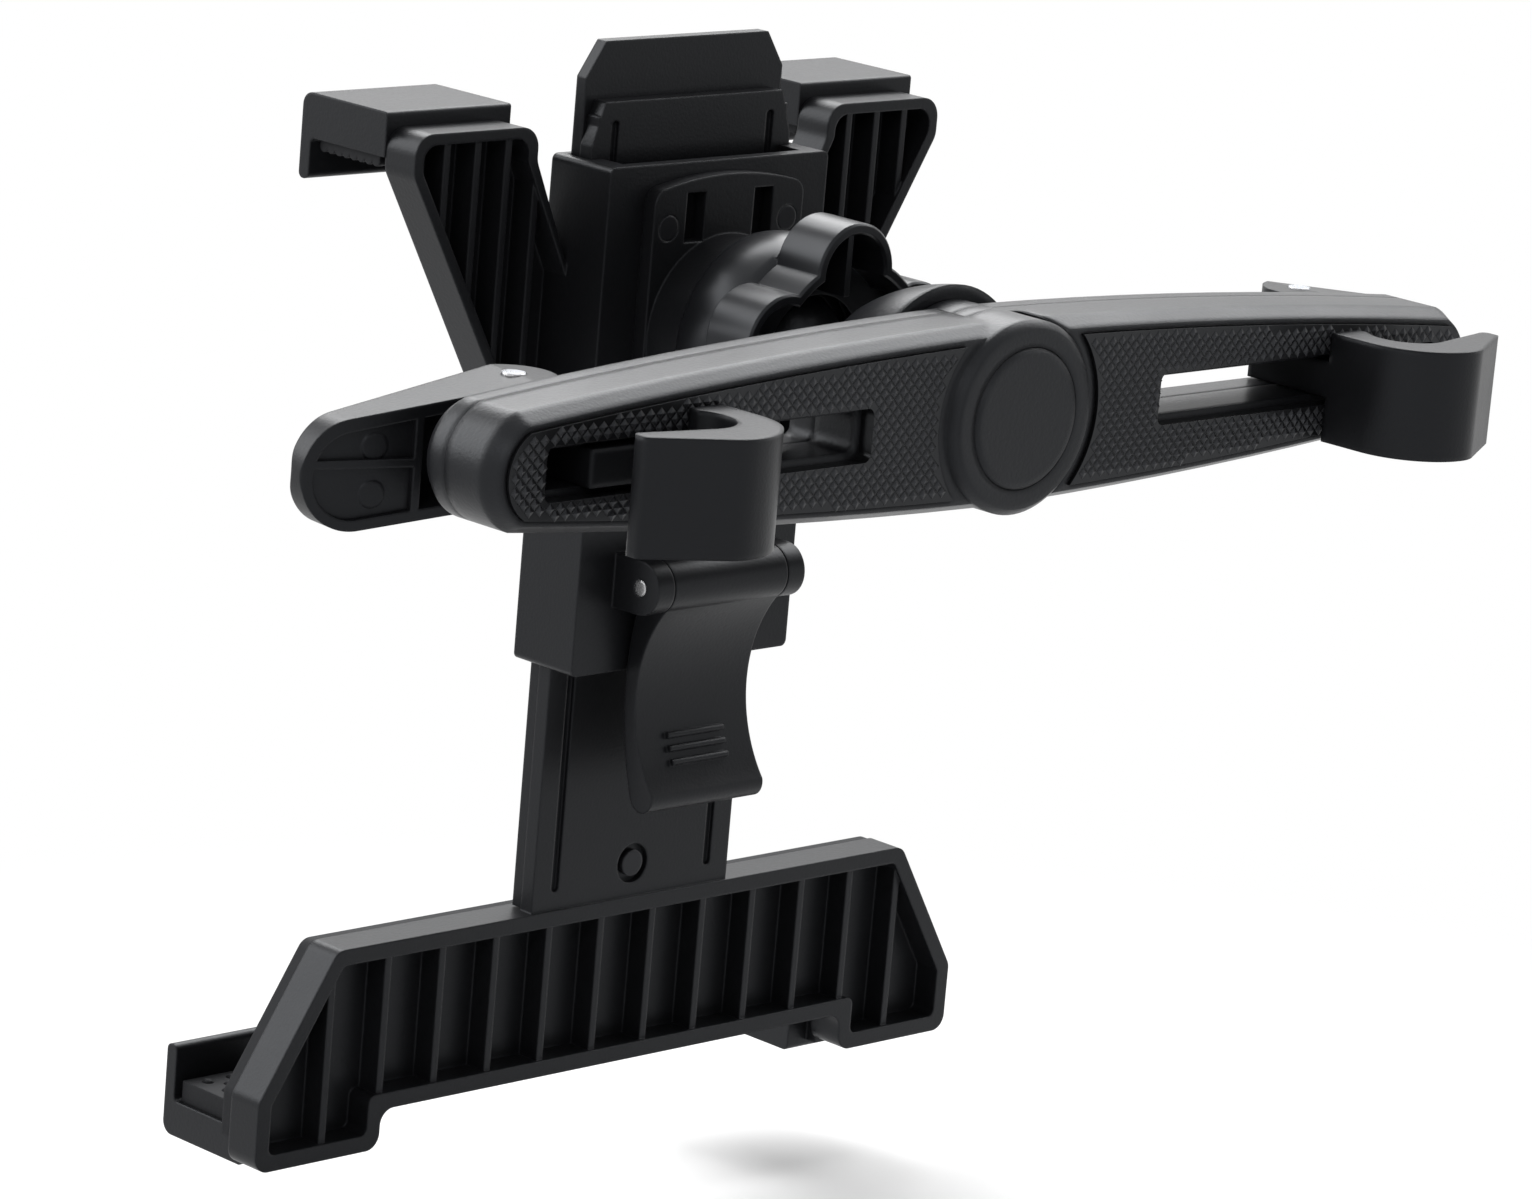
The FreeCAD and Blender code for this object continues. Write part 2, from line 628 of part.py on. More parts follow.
def plate_screws():
    """Small screws that hold the socket plate on the housing."""
    screws = []
    seat = PLATE_FRONT_Y + PLATE_SCREW_HEAD_HEIGHT
    for x, z in plate_screw_places():
        head = along_y(PLATE_SCREW_HEAD, (PLATE_FRONT_Y, seat), x, z)
        shank = along_y(PLATE_SCREW_RADIUS, (PLATE_FRONT_Y, PLATE_FRONT_Y + PLATE_SCREW_LENGTH), x, z)
        screws.append(joined(head, shank))
    return Part.makeCompound(screws)


def lobed(inset, y):
    """Scalloped drum of the nut's grip, moved in by an inset."""
    hub = NUT_LOBE_REACH - NUT_LOBE_RADIUS
    drum = along_y(hub - inset, y)
    lobes = []
    for index in range(NUT_LOBES):
        angle = 2 * math.pi * (index + 0.25) / NUT_LOBES
        lobes.append(along_y(NUT_LOBE_RADIUS - inset, y, hub * math.sin(angle), hub * math.cos(angle)))
    return joined(drum, *lobes)


def clamp_nut():
    """Hand nut: rounded shell over the socket, hollow lobed grip with radial webs."""
    skirt_back = NUT_FRONT_Y + NUT_SKIRT
    dome = ball(NUT_SPHERE_RADIUS).common(along_y(2 * NUT_SPHERE_RADIUS, (BALL_Y - NUT_FRONT_DEPTH / 2, NUT_BACK_Y)))
    skirt = lobed(0.0, (NUT_FRONT_Y, skirt_back))
    hollow = lobed(NUT_WALL, (NUT_FRONT_Y, skirt_back - NUT_WALL))
    webs = []
    for index in range(NUT_LOBES):
        web = box((-NUT_WEB / 2, NUT_WEB / 2), (NUT_FRONT_Y + NUT_WALL, skirt_back),
                  (NUT_MOUTH_RADIUS, NUT_LOBE_REACH - NUT_WALL / 2))
        web.rotate(Vector(0, 0, 0), Vector(0, 1, 0), (index + 0.25) * 360 / NUT_LOBES)
        webs.append(web)
    thread = along_y(THREAD_RADIUS + RUNNING_FIT, (SOCKET_FRONT_Y - GAP, NUT_BACK_Y))
    mouth = turned([(NUT_FRONT_Y, 0), (NUT_FRONT_Y, NUT_MOUTH_RADIUS), (BALL_Y, NECK_RADIUS + GAP), (BALL_Y, 0)])
    shell = joined(dome, skirt.cut(hollow), *webs)
    return shell.cut(ball(SOCKET_INNER + GAP)).cut([thread, mouth])


# Tablet cradle

def wing_corners(inset):
    """Outline of the right wing in X and Z, its walls moved in by an inset."""
    root = HOUSING_HALF_WIDTH - 1
    corner = WING_CORNER - inset / 2
    slope = (WING_OUTER_X - HOUSING_HALF_WIDTH) / (WING_KNEE_Z - WING_FOOT_Z)
    shift = inset * math.sqrt(1 + slope * slope)
    return [(root, WING_FOOT_Z + shift / slope, 0),
            (WING_OUTER_X - inset, WING_KNEE_Z + (shift - inset) / slope, corner),
            (WING_OUTER_X - inset, WING_TOP_Z - inset, corner),
            (WING_INNER_X + inset, WING_TOP_Z - inset, corner),
            (WING_INNER_X + inset, WING_NOTCH_TOP_Z, corner),
            (HOUSING_HALF_WIDTH, WING_NOTCH_BOTTOM_Z - inset, 0), (root, WING_NOTCH_BOTTOM_Z - inset, 0)]


def wing():
    """Ribbed wing, open towards the headrest."""
    depth = TABLET_Y - WING_FRONT_Y
    blank = prism(wing_corners(0.0), on_front(WING_FRONT_Y), Vector(0, depth, 0))
    pocket = prism(wing_corners(WING_WALL), on_front(WING_FRONT_Y), Vector(0, depth - WING_WALL, 0))
    pocket = pocket.cut(box((0, HOUSING_HALF_WIDTH), (WING_FRONT_Y, TABLET_Y), (WING_FOOT_Z, WING_TOP_Z)))
    ribs = []
    for index in range(WING_RIBS):
        x = WING_RIB_FIRST_X + index * WING_RIB_PITCH
        ribs.append(box((x - WING_RIB / 2, x + WING_RIB / 2), (WING_FRONT_Y + WING_RIB_SETBACK, TABLET_Y),
                        (WING_FOOT_Z, WING_TOP_Z)))
    return joined(blank.cut(pocket), *[rib.common(blank) for rib in ribs])


def blade_channel():
    """Way of the slide blade through the housing, with running room all round."""
    half = BLADE_HALF_WIDTH + GAP
    return box((-half, half), (BLADE_FRONT_Y - GAP, BACKING_BACK_Y + GAP), (HOUSING_BOTTOM_Z, HOUSING_TOP_Z))


def cradle_housing():
    """Guide box with its wings, and the ears of the lock lever."""
    guide = rounded_box(HOUSING_HALF_WIDTH, (HOUSING_BOTTOM_Z, HOUSING_TOP_Z), HOUSING_CORNER,
                        (HOUSING_FRONT_Y, HOUSING_BACK_Y))
    right = wing()
    ears = []
    for side in (-1, 1):
        x = sorted((side * (LOCK_HALF_WIDTH + GAP), side * (LOCK_HALF_WIDTH + GAP + LOCK_EAR_WIDTH)))
        cheek = along_x(LOCK_BARREL, x, LOCK_PIN_Y, LOCK_PIN_Z)
        web = box(x, (LOCK_PIN_Y, HOUSING_FRONT_Y), (LOCK_PIN_Z - LOCK_BARREL, LOCK_PIN_Z + LOCK_BARREL))
        ears.append(joined(cheek, web))
    cavity_half = HOUSING_HALF_WIDTH - HOUSING_SIDE_WALL
    cavity = box((-cavity_half, cavity_half), (HOUSING_FRONT_Y + HOUSING_FRONT_WALL, BLADE_FRONT_Y),
                 (HOUSING_BOTTOM_Z + HOUSING_FLOOR, HOUSING_TOP_Z))
    toe_half = LOCK_TOE_HALF_WIDTH + 2 * GAP
    toe_drop = BLADE_FRONT_Y - LOCK_PIN_Y + LOCK_TOE_THICK / 2
    window_low = max(LOCK_PIN_Z - toe_drop, HOUSING_BOTTOM_Z + HOUSING_FLOOR)
    window = box((-toe_half, toe_half), (HOUSING_FRONT_Y, BLADE_FRONT_Y), (window_low, LOCK_PIN_Z + LOCK_TOE_THICK))
    bore = along_x(LOCK_PIN_RADIUS + RUNNING_FIT, (-HOUSING_HALF_WIDTH, HOUSING_HALF_WIDTH), LOCK_PIN_Y, LOCK_PIN_Z)
    screw_end = PLATE_FRONT_Y + PLATE_SCREW_LENGTH
    holes = [along_y(PLATE_SCREW_RADIUS + SEAT_FIT, (HOUSING_FRONT_Y, screw_end), x, z)
             for x, z in plate_screw_places()]
    body = joined(guide, right, mirrored(right), *ears)
    return body.cut([cavity, blade_channel(), window, bore] + holes)


def upper_claw():
    """Right upper claw: roof over the tablet's edge and a lip in front of it."""
    low = UPPER_CLAW_TOP_Z - UPPER_CLAW_LIP_REACH
    tip = CLAW_LIP * 0.45
    corners = [(TABLET_Y, ROOF_Z, 0), (LIP_Y - CLAW_LIP, ROOF_Z, 1), (LIP_Y - CLAW_LIP, low, tip),
               (LIP_Y, low, tip), (LIP_Y, UPPER_CLAW_TOP_Z, CLAW_CORNER), (TABLET_Y, UPPER_CLAW_TOP_Z, 0.6)]
    width = UPPER_CLAW_X[1] - UPPER_CLAW_X[0]
    claw = prism(corners, on_side(UPPER_CLAW_X[0]), Vector(width, 0, 0))
    return claw.cut(box(*upper_pad_space()))


def upper_pad_space():
    """Recess of the upper pad in the claw's roof, as (x, y, z) pairs."""
    wall = CLAW_LIP
    return ((UPPER_CLAW_X[0] + wall, UPPER_CLAW_X[1] - wall / 2), (TABLET_Y + wall, LIP_Y - CLAW_LIP - 1),
            (ROOF_Z, ROOF_Z + UPPER_PAD_DEPTH))


def upper_pad():
    """Rubber pad in the roof, its underside in round ridges along the tablet's edge."""
    x, y, z = upper_pad_space()
    left = x[0] + SEAT_FIT
    low = z[0] - UPPER_PAD_PROUD
    step = (y[1] - y[0] - 2 * SEAT_FIT) / UPPER_PAD_WAVES
    place = on_side(left)
    start = y[0] + SEAT_FIT
    end = y[1] - SEAT_FIT
    edges = [Part.makeLine(place(end, low + step / 2), place(end, z[1])), Part.makeLine(place(end, z[1]), place(start, z[1])),
             Part.makeLine(place(start, z[1]), place(start, low + step / 2))]
    for index in range(UPPER_PAD_WAVES):
        near = start + index * step
        edges.append(Part.Arc(place(near, low + step / 2), place(near + step / 2, low),
                              place(near + step, low + step / 2)).toShape())
    face = Part.Face(Part.Wire(Part.sortEdges(edges)[0]))
    return face.extrude(Vector(x[1] - SEAT_FIT - left, 0, 0))


def lower_claw():
    """Right lower claw: floor, upturned lip and the tenon on the bar's foot."""
    high = LOWER_CLAW_BOTTOM_Z + LOWER_CLAW_LIP_REACH
    near = TABLET_Y
    tip = CLAW_LIP * 0.45
    corners = [(near, LOWER_CLAW_BOTTOM_Z, 1), (LIP_Y, LOWER_CLAW_BOTTOM_Z, CLAW_CORNER), (LIP_Y, high, tip),
               (LIP_Y - CLAW_LIP, high, tip), (LIP_Y - CLAW_LIP, FLOOR_Z, 1), (near, FLOOR_Z, 0.5)]
    width = LOWER_CLAW_X[1] - LOWER_CLAW_X[0]
    ledge = prism(corners, on_side(LOWER_CLAW_X[0]), Vector(width, 0, 0))
    tenon_z = (FLOOR_Z - LOWER_TENON_HEIGHT, FLOOR_Z)
    x = (LOWER_CLAW_X[0] + LOWER_TENON_INSET, LOWER_CLAW_X[1] - LOWER_TENON_INSET)
    return joined(ledge, box(x, (BAR_BACK_Y, near + CLAW_CORNER), tenon_z))


def lower_pad():
    """Rubber pad on the lower claw's floor."""
    x = (LOWER_CLAW_X[0] + LOWER_PAD_INSET, LOWER_CLAW_X[1] - LOWER_PAD_INSET / 2)
    return box(x, (TABLET_Y + LOWER_PAD_INSET, LIP_Y - CLAW_LIP - 1 - SEAT_FIT), (FLOOR_Z, FLOOR_Z + LOWER_PAD_THICK))


def bar_corners(inset):
    """Outline of the lower bar in X and Z, its walls moved in by an inset."""
    corner = BAR_CORNER - inset / 2
    slope = (BAR_HALF_WIDTH - BAR_TOP_HALF_WIDTH) / (BAR_TOP_Z - BAR_KNEE_Z)
    shift = inset * math.sqrt(1 + slope * slope)
    top = BAR_TOP_Z - inset
    top_x = BAR_TOP_HALF_WIDTH - shift + slope * inset
    side_x = BAR_HALF_WIDTH - inset
    knee = BAR_TOP_Z - (side_x - BAR_TOP_HALF_WIDTH + shift) / slope
    foot = BAR_FOOT_Z + inset
    belly = BAR_BELLY_Z + inset
    inner = BAR_FOOT_INNER_X + inset
    right = [(inner, belly, corner), (inner, foot, corner), (side_x, foot, corner), (side_x, knee, corner),
             (top_x, top, corner)]
    return right + [(-u, v, radius) for u, v, radius in reversed(right)]


def blade_corners(half_width, top_half_width, shoulder_z, top_z):
    """Outline of one blade layer in X and Z, narrower at its top."""
    bottom = BAR_TOP_Z - BAR_WALL
    right = [(half_width, bottom, 0), (half_width, shoulder_z, 0.5), (top_half_width, top_z, 0.5)]
    return right + [(-u, v, radius) for u, v, radius in reversed(right)]


def lower_bracket():
    """Slide blade and ribbed lower bar in one moulding, the bar open towards the headrest."""
    depth = Vector(0, BAR_DEPTH, 0)
    blank = prism(bar_corners(0.0), on_front(BAR_FRONT_Y), depth)
    pocket = prism(bar_corners(BAR_WALL), on_front(BAR_FRONT_Y), depth - Vector(0, BAR_BACK_WALL, 0))
    ribs = []
    for index in range(BAR_RIBS_EACH_SIDE):
        for side in (-1, 1):
            x = side * (index + 0.5) * BAR_RIB_PITCH
            rib = box((x - BAR_RIB / 2, x + BAR_RIB / 2), (BAR_FRONT_Y + BAR_RIB_SETBACK, BAR_BACK_Y),
                      (BAR_FOOT_Z, BAR_TOP_Z))
            ribs.append(rib.common(blank))
    blade = prism(blade_corners(BLADE_HALF_WIDTH, BLADE_TOP_HALF_WIDTH, BLADE_SHOULDER_Z, BLADE_TOP_Z),
                  on_front(BLADE_FRONT_Y), Vector(0, BLADE_THICK, 0))
    catches = box((-BLADE_TOP_HALF_WIDTH - CATCH_PROUD, BLADE_TOP_HALF_WIDTH + CATCH_PROUD),
                  (BLADE_FRONT_Y, BLADE_BACK_Y), (CATCH_Z - CATCH_HEIGHT, CATCH_Z))
    well = along_y(BLADE_SCREW_WELL, (BLADE_FRONT_Y, blade_screw_seat_y()), 0, BLADE_SCREW_Z)
    hole = along_y(BLADE_SCREW_RADIUS + SEAT_FIT, (BLADE_FRONT_Y, BLADE_BACK_Y), 0, BLADE_SCREW_Z)
    body = joined(blank.cut(pocket), blade, catches, *ribs)
    return body.cut([blade_groove(-1), blade_groove(1), well, hole])


def blade_groove(side):
    """Long groove beside one edge of the blade's front."""
    half = BLADE_GROOVE_WIDTH / 2
    middle = side * BLADE_GROOVE_X
    low = BAR_TOP_Z + BLADE_GROOVE_END
    high = BLADE_TOP_Z - BLADE_GROOVE_END
    corners = [(middle - half, low, half * 0.9), (middle + half, low, half * 0.9),
               (middle + half, high, half * 0.9), (middle - half, high, half * 0.9)]
    return prism(corners, on_front(BLADE_FRONT_Y), Vector(0, BLADE_GROOVE_DEPTH, 0))


def blade_screw_seat_y():
    """Plane that the blade screw's head rests on."""
    return BLADE_FRONT_Y + BLADE_SCREW_HEAD_HEIGHT


def blade_backing():
    """Second layer of the blade, which stands out above the first."""
    corners = blade_corners(BLADE_HALF_WIDTH - GAP, BACKING_TOP_HALF_WIDTH, BACKING_CHAMFER_Z, BACKING_TOP_Z)
    low = BAR_TOP_Z + GAP
    corners = [(u, max(v, low), radius) for u, v, radius in corners]
    plate = prism(corners, on_front(BLADE_BACK_Y), Vector(0, BACKING_THICK, 0))
    y = (BLADE_BACK_Y, BACKING_BACK_Y)
    return plate.cut(along_y(BLADE_SCREW_RADIUS + SEAT_FIT, y, 0, BLADE_SCREW_Z))


def blade_screw():
    """Screw that holds the two blade layers together."""
    head = along_y(BLADE_SCREW_HEAD, (BLADE_FRONT_Y, blade_screw_seat_y()), 0, BLADE_SCREW_Z)
    return joined(head, along_y(BLADE_SCREW_RADIUS, (BLADE_FRONT_Y, BACKING_BACK_Y), 0, BLADE_SCREW_Z))


def bar_pad():
    """Thin rubber layer between the bar's back and the tablet."""
    sheet = prism(bar_corners(GAP), on_front(BAR_BACK_Y), Vector(0, TABLET_Y - BAR_BACK_Y, 0))
    below = box((-BAR_HALF_WIDTH, BAR_HALF_WIDTH), (BAR_BACK_Y, TABLET_Y), (BAR_FOOT_Z, BAR_PAD_BOTTOM_Z))
    return sheet.cut(below)


def lock_point(y, z):
    """Point of the lock lever's side view, measured from its pin."""
    return Vector(-LOCK_HALF_WIDTH, LOCK_PIN_Y + y, LOCK_PIN_Z + z)


def lock_lever():
    """Hollow-fronted lever on its barrel, with a cam toe towards the blade and grip bars."""
    front_top = lock_point(-LOCK_BARREL + 1, -LOCK_BARREL * 0.55)
    front_mid = lock_point(LOCK_HOLLOW - LOCK_THICK, -LOCK_LENGTH * 0.46)
    front_end = lock_point(-LOCK_THICK, -LOCK_LENGTH + LOCK_END_THICK * 0.7)
    tip = lock_point(0, -LOCK_LENGTH)
    back_end = lock_point(LOCK_END_THICK - LOCK_THICK, -LOCK_LENGTH + LOCK_END_THICK * 0.3)
    back_mid = lock_point(LOCK_HOLLOW, -LOCK_LENGTH * 0.46)
    back_top = lock_point(LOCK_BARREL - 1, -LOCK_BARREL * 0.55)
    profile = Part.Wire([Part.Arc(front_top, front_mid, front_end).toShape(),
                         Part.Arc(front_end, tip, back_end).toShape(),
                         Part.Arc(back_end, back_mid, back_top).toShape(),
                         Part.makeLine(back_top, front_top)])
    width = Vector(2 * LOCK_HALF_WIDTH, 0, 0)
    plate = Part.Face(profile).extrude(width)
    barrel = along_x(LOCK_BARREL, (-LOCK_HALF_WIDTH, LOCK_HALF_WIDTH), LOCK_PIN_Y, LOCK_PIN_Z)
    toe_end = BLADE_FRONT_Y - GAP
    half = LOCK_TOE_THICK / 2
    toe_corners = [(LOCK_PIN_Y, LOCK_PIN_Z - half, 0), (toe_end, LOCK_PIN_Z - half, half * 0.9),
                   (toe_end, LOCK_PIN_Z + half, half * 0.9), (LOCK_PIN_Y, LOCK_PIN_Z + half, 0)]
    toe = prism(toe_corners, on_side(-LOCK_TOE_HALF_WIDTH), Vector(2 * LOCK_TOE_HALF_WIDTH, 0, 0))
    grips = []
    for index in range(LOCK_GRIPS):
        drop = LOCK_GRIP_FIRST + index * LOCK_GRIP_PITCH
        share = (drop - LOCK_LENGTH * 0.46) / (LOCK_LENGTH * 0.54 - LOCK_END_THICK * 0.7)
        front = LOCK_HOLLOW - LOCK_THICK - LOCK_HOLLOW * share * share
        grips.append(along_x(LOCK_GRIP_RADIUS, (-LOCK_GRIP_HALF_LENGTH, LOCK_GRIP_HALF_LENGTH),
                             LOCK_PIN_Y + front, LOCK_PIN_Z - drop))
    bore = along_x(LOCK_PIN_RADIUS + RUNNING_FIT, (-LOCK_HALF_WIDTH, LOCK_HALF_WIDTH), LOCK_PIN_Y, LOCK_PIN_Z)
    return joined(plate, barrel, toe, *grips).cut(bore)


def lock_pin():
    """Steel pin through the ears and the lock lever's barrel."""
    half = LOCK_HALF_WIDTH + GAP + LOCK_EAR_WIDTH
    return along_x(LOCK_PIN_RADIUS, (-half, half), LOCK_PIN_Y, LOCK_PIN_Z)


def pieces():
    """Every piece of the holder by name."""
    left_post = -LEFT_POST_X
    return {
        "left_arm": left_arm(),
        "right_arm": right_arm(),
        "left_cover": left_cover(),
        "right_cover": right_cover(),
        "left_insert": mirrored(arm_insert()),
        "right_insert": arm_insert(),
        "centre_cap": centre_cap(),
        "centre_screw": centre_screw(),
        "left_hook": mirrored(hook(left_post)),
        "right_hook": hook(RIGHT_POST_X),
        "left_lever": mirrored(lever(left_post)),
        "right_lever": lever(RIGHT_POST_X),
        "left_pin": mirrored(lever_pin(left_post)),
        "right_pin": lever_pin(RIGHT_POST_X),
        "ball_stem": ball_stem(),
        "ball_seat": ball_seat(),
        "ball_plate": ball_plate(),
        "plate_screws": plate_screws(),
        "clamp_nut": clamp_nut(),
        "cradle_housing": cradle_housing(),
        "upper_claw_left": mirrored(upper_claw()),
        "upper_claw_right": upper_claw(),
        "upper_pad_left": mirrored(upper_pad()),
        "upper_pad_right": upper_pad(),
        "lock_lever": lock_lever(),
        "lock_pin": lock_pin(),
        "lower_bracket": lower_bracket(),
        "blade_backing": blade_backing(),
        "blade_screw": blade_screw(),
        "bar_pad": bar_pad(),
        "lower_claw_left": mirrored(lower_claw()),
        "lower_claw_right": lower_claw(),
        "lower_pad_left": mirrored(lower_pad()),
        "lower_pad_right": lower_pad(),
    }


def main():
    """Write one file for each piece."""
    os.makedirs("parts", exist_ok=True)
    for name, shape in pieces().items():
        print(f"{name}: {len(shape.Solids)} solid(s), {shape.Volume / 1000:.2f} cm3, valid {shape.isValid()}")
        shape.exportStep(f"parts/{name}.step")


main()
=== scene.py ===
"""Dresses the tablet holder for a car headrest: finishes, knurled and dotted rubber, studio and camera."""
from __future__ import annotations

import json
import logging
import math
from dataclasses import dataclass, field, replace
from enum import Enum
from typing import Any

import bmesh
import bpy
from mathutils import Matrix, Vector

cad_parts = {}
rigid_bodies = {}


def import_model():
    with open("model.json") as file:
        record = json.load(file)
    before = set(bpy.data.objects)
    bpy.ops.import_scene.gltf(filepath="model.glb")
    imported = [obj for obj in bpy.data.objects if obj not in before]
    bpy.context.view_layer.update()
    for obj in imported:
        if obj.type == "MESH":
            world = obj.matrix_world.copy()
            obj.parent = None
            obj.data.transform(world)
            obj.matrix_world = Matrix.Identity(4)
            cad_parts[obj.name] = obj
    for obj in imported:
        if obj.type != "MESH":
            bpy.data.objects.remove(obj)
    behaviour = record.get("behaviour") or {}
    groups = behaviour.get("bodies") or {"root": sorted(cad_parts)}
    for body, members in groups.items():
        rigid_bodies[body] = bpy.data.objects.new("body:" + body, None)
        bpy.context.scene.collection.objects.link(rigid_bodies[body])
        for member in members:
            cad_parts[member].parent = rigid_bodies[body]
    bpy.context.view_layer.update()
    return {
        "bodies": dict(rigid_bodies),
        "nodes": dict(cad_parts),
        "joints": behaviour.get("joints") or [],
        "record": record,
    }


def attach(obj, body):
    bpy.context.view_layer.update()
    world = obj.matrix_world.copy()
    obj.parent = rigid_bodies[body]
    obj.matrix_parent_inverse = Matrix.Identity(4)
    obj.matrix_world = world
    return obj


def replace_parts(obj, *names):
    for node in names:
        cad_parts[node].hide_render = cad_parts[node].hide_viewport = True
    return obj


LOG = logging.getLogger("tablet_holder")
MM = 0.001
MERGE = 0.001 * MM
NOISE_MIDDLE = 0.5
WHITE = (1.0, 1.0, 1.0, 1.0)
STUD_INPUTS = ("Reach", "Pitch", "Base", "Crown", "Height", "Margin")

# The ball's middle, and the inserts' faces with the knurl that stands on them.
BALL_Y = 67.0 * MM
INSERT_FACE_Y = 7.1 * MM
KNURL_HEIGHT = 0.28 * MM

Point = tuple[float, float]


class Wire:
    """A node's output socket that takes part in Python sums."""

    def __init__(self, graph: Graph, socket: bpy.types.NodeSocket) -> None:
        """Keeps the socket and the graph that its sums are added to."""
        self.graph = graph
        self.socket = socket

    def __add__(self, other: Value) -> Wire:
        """Sum."""
        return self.graph.math("ADD", self, other)

    def __radd__(self, other: Value) -> Wire:
        """Sum with the wire on the right."""
        return self.graph.math("ADD", other, self)

    def __sub__(self, other: Value) -> Wire:
        """Difference."""
        return self.graph.math("SUBTRACT", self, other)

    def __rsub__(self, other: Value) -> Wire:
        """Difference with the wire on the right."""
        return self.graph.math("SUBTRACT", other, self)

    def __mul__(self, other: Value) -> Wire:
        """Product."""
        return self.graph.math("MULTIPLY", self, other)

    def __rmul__(self, other: Value) -> Wire:
        """Product with the wire on the right."""
        return self.graph.math("MULTIPLY", other, self)


Value = Wire | float


class Graph:
    """Adds nodes to one node tree."""

    def __init__(self, tree: bpy.types.NodeTree) -> None:
        """Keeps the tree and empties it."""
        self.tree = tree
        tree.nodes.clear()

    def node(self, kind: str, settings: dict[str, Any] | None = None,
             inputs: dict[str | int, Any] | None = None) -> bpy.types.Node:
        """Adds one node.

        Args:
            kind: The node's type name.
            settings: Properties that are set first.
            inputs: Values or wires of its sockets, by name or number.

        Returns:
            The new node.
        """
        made = self.tree.nodes.new(kind)
        for name, value in (settings or {}).items():
            setattr(made, name, value)
        for name, value in (inputs or {}).items():
            if isinstance(value, Wire):
                self.tree.links.new(value.socket, made.inputs[name])
            else:
                made.inputs[name].default_value = value
        return made

    def wire(self, kind: str, settings: dict[str, Any] | None = None,
             inputs: dict[str | int, Any] | None = None, output: str | int = 0) -> Wire:
        """Adds one node and gives one of its outputs.

        Args:
            kind: The node's type name.
            settings: Properties that are set first.
            inputs: Values or wires of its sockets, by name or number.
            output: Name or number of the output.

        Returns:
            That output as a wire.
        """
        return Wire(self, self.node(kind, settings, inputs).outputs[output])

    def math(self, operation: str, first: Value, second: Value) -> Wire:
        """Adds one Math node.

        Args:
            operation: Its operation.
            first: First value or wire.
            second: Second value or wire.

        Returns:
            The result.
        """
        return self.wire("ShaderNodeMath", {"operation": operation}, {0: first, 1: second})


def add(name: str, data: bpy.types.ID) -> bpy.types.Object:
    """Adds an object to the scene.

    Args:
        name: Its name.
        data: Its mesh, light or camera.

    Returns:
        The object, at the origin.
    """
    item = bpy.data.objects.new(name, data)
    bpy.context.scene.collection.objects.link(item)
    return item


def add_shape(name: str, shape: bmesh.types.BMesh) -> bpy.types.Object:
    """Adds a finished shape to the scene as a plain mesh.

    Args:
        name: Name of the object and of its mesh.
        shape: The shape, which is freed.

    Returns:
        The object, at the origin.
    """
    mesh = bpy.data.meshes.new(name)
    shape.to_mesh(mesh)
    shape.free()
    LOG.info("%s: %d faces", name, len(mesh.polygons))
    return add(name, mesh)


def arc(centre: Point, radius: float, start: float, end: float, steps: int) -> list[Point]:
    """Points along a flat arc.

    Args:
        centre: Its centre.
        radius: Its radius.
        start: Angle of the first point.
        end: Angle of the last point.
        steps: Number of equal steps between the two.

    Returns:
        The points.
    """
    turns = [start + (end - start) * step / steps for step in range(steps + 1)]
    return [(centre[0] + radius * math.cos(turn), centre[1] + radius * math.sin(turn)) for turn in turns]


def bend(start: Point, corner: Point, end: Point, steps: int) -> list[Point]:
    """Points along a curve that rounds off a corner.

    Args:
        start: First point.
        corner: Where the lines at the curve's two ends meet.
        end: Last point.
        steps: Number of steps between the two.

    Returns:
        The points.
    """
    points = []
    for share in (step / steps for step in range(steps + 1)):
        weights = ((1 - share) ** 2, 2 * share * (1 - share), share ** 2)
        points.append(tuple(sum(weight * value for weight, value in zip(weights, values))
                            for values in zip(start, corner, end)))
    return points


def skin(shape: bmesh.types.BMesh, rings: list[list[Vector]]) -> list[list[bmesh.types.BMVert]]:
    """Joins closed rings of points by faces.

    Args:
        shape: The mesh that takes the faces.
        rings: The rings in order, with the same number of points in each.

    Returns:
        The rings' vertices.
    """
    rows = [[shape.verts.new(point) for point in ring] for ring in rings]
    for near, far in zip(rows, rows[1:]):
        for turn in range(len(near)):
            after = (turn + 1) % len(near)
            shape.faces.new((near[turn], near[after], far[after], far[turn]))
    return rows


class Slot(Enum):
    """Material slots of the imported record."""

    PLASTIC = "black_abs"
    RUBBER = "black_rubber"
    STEEL = "steel"


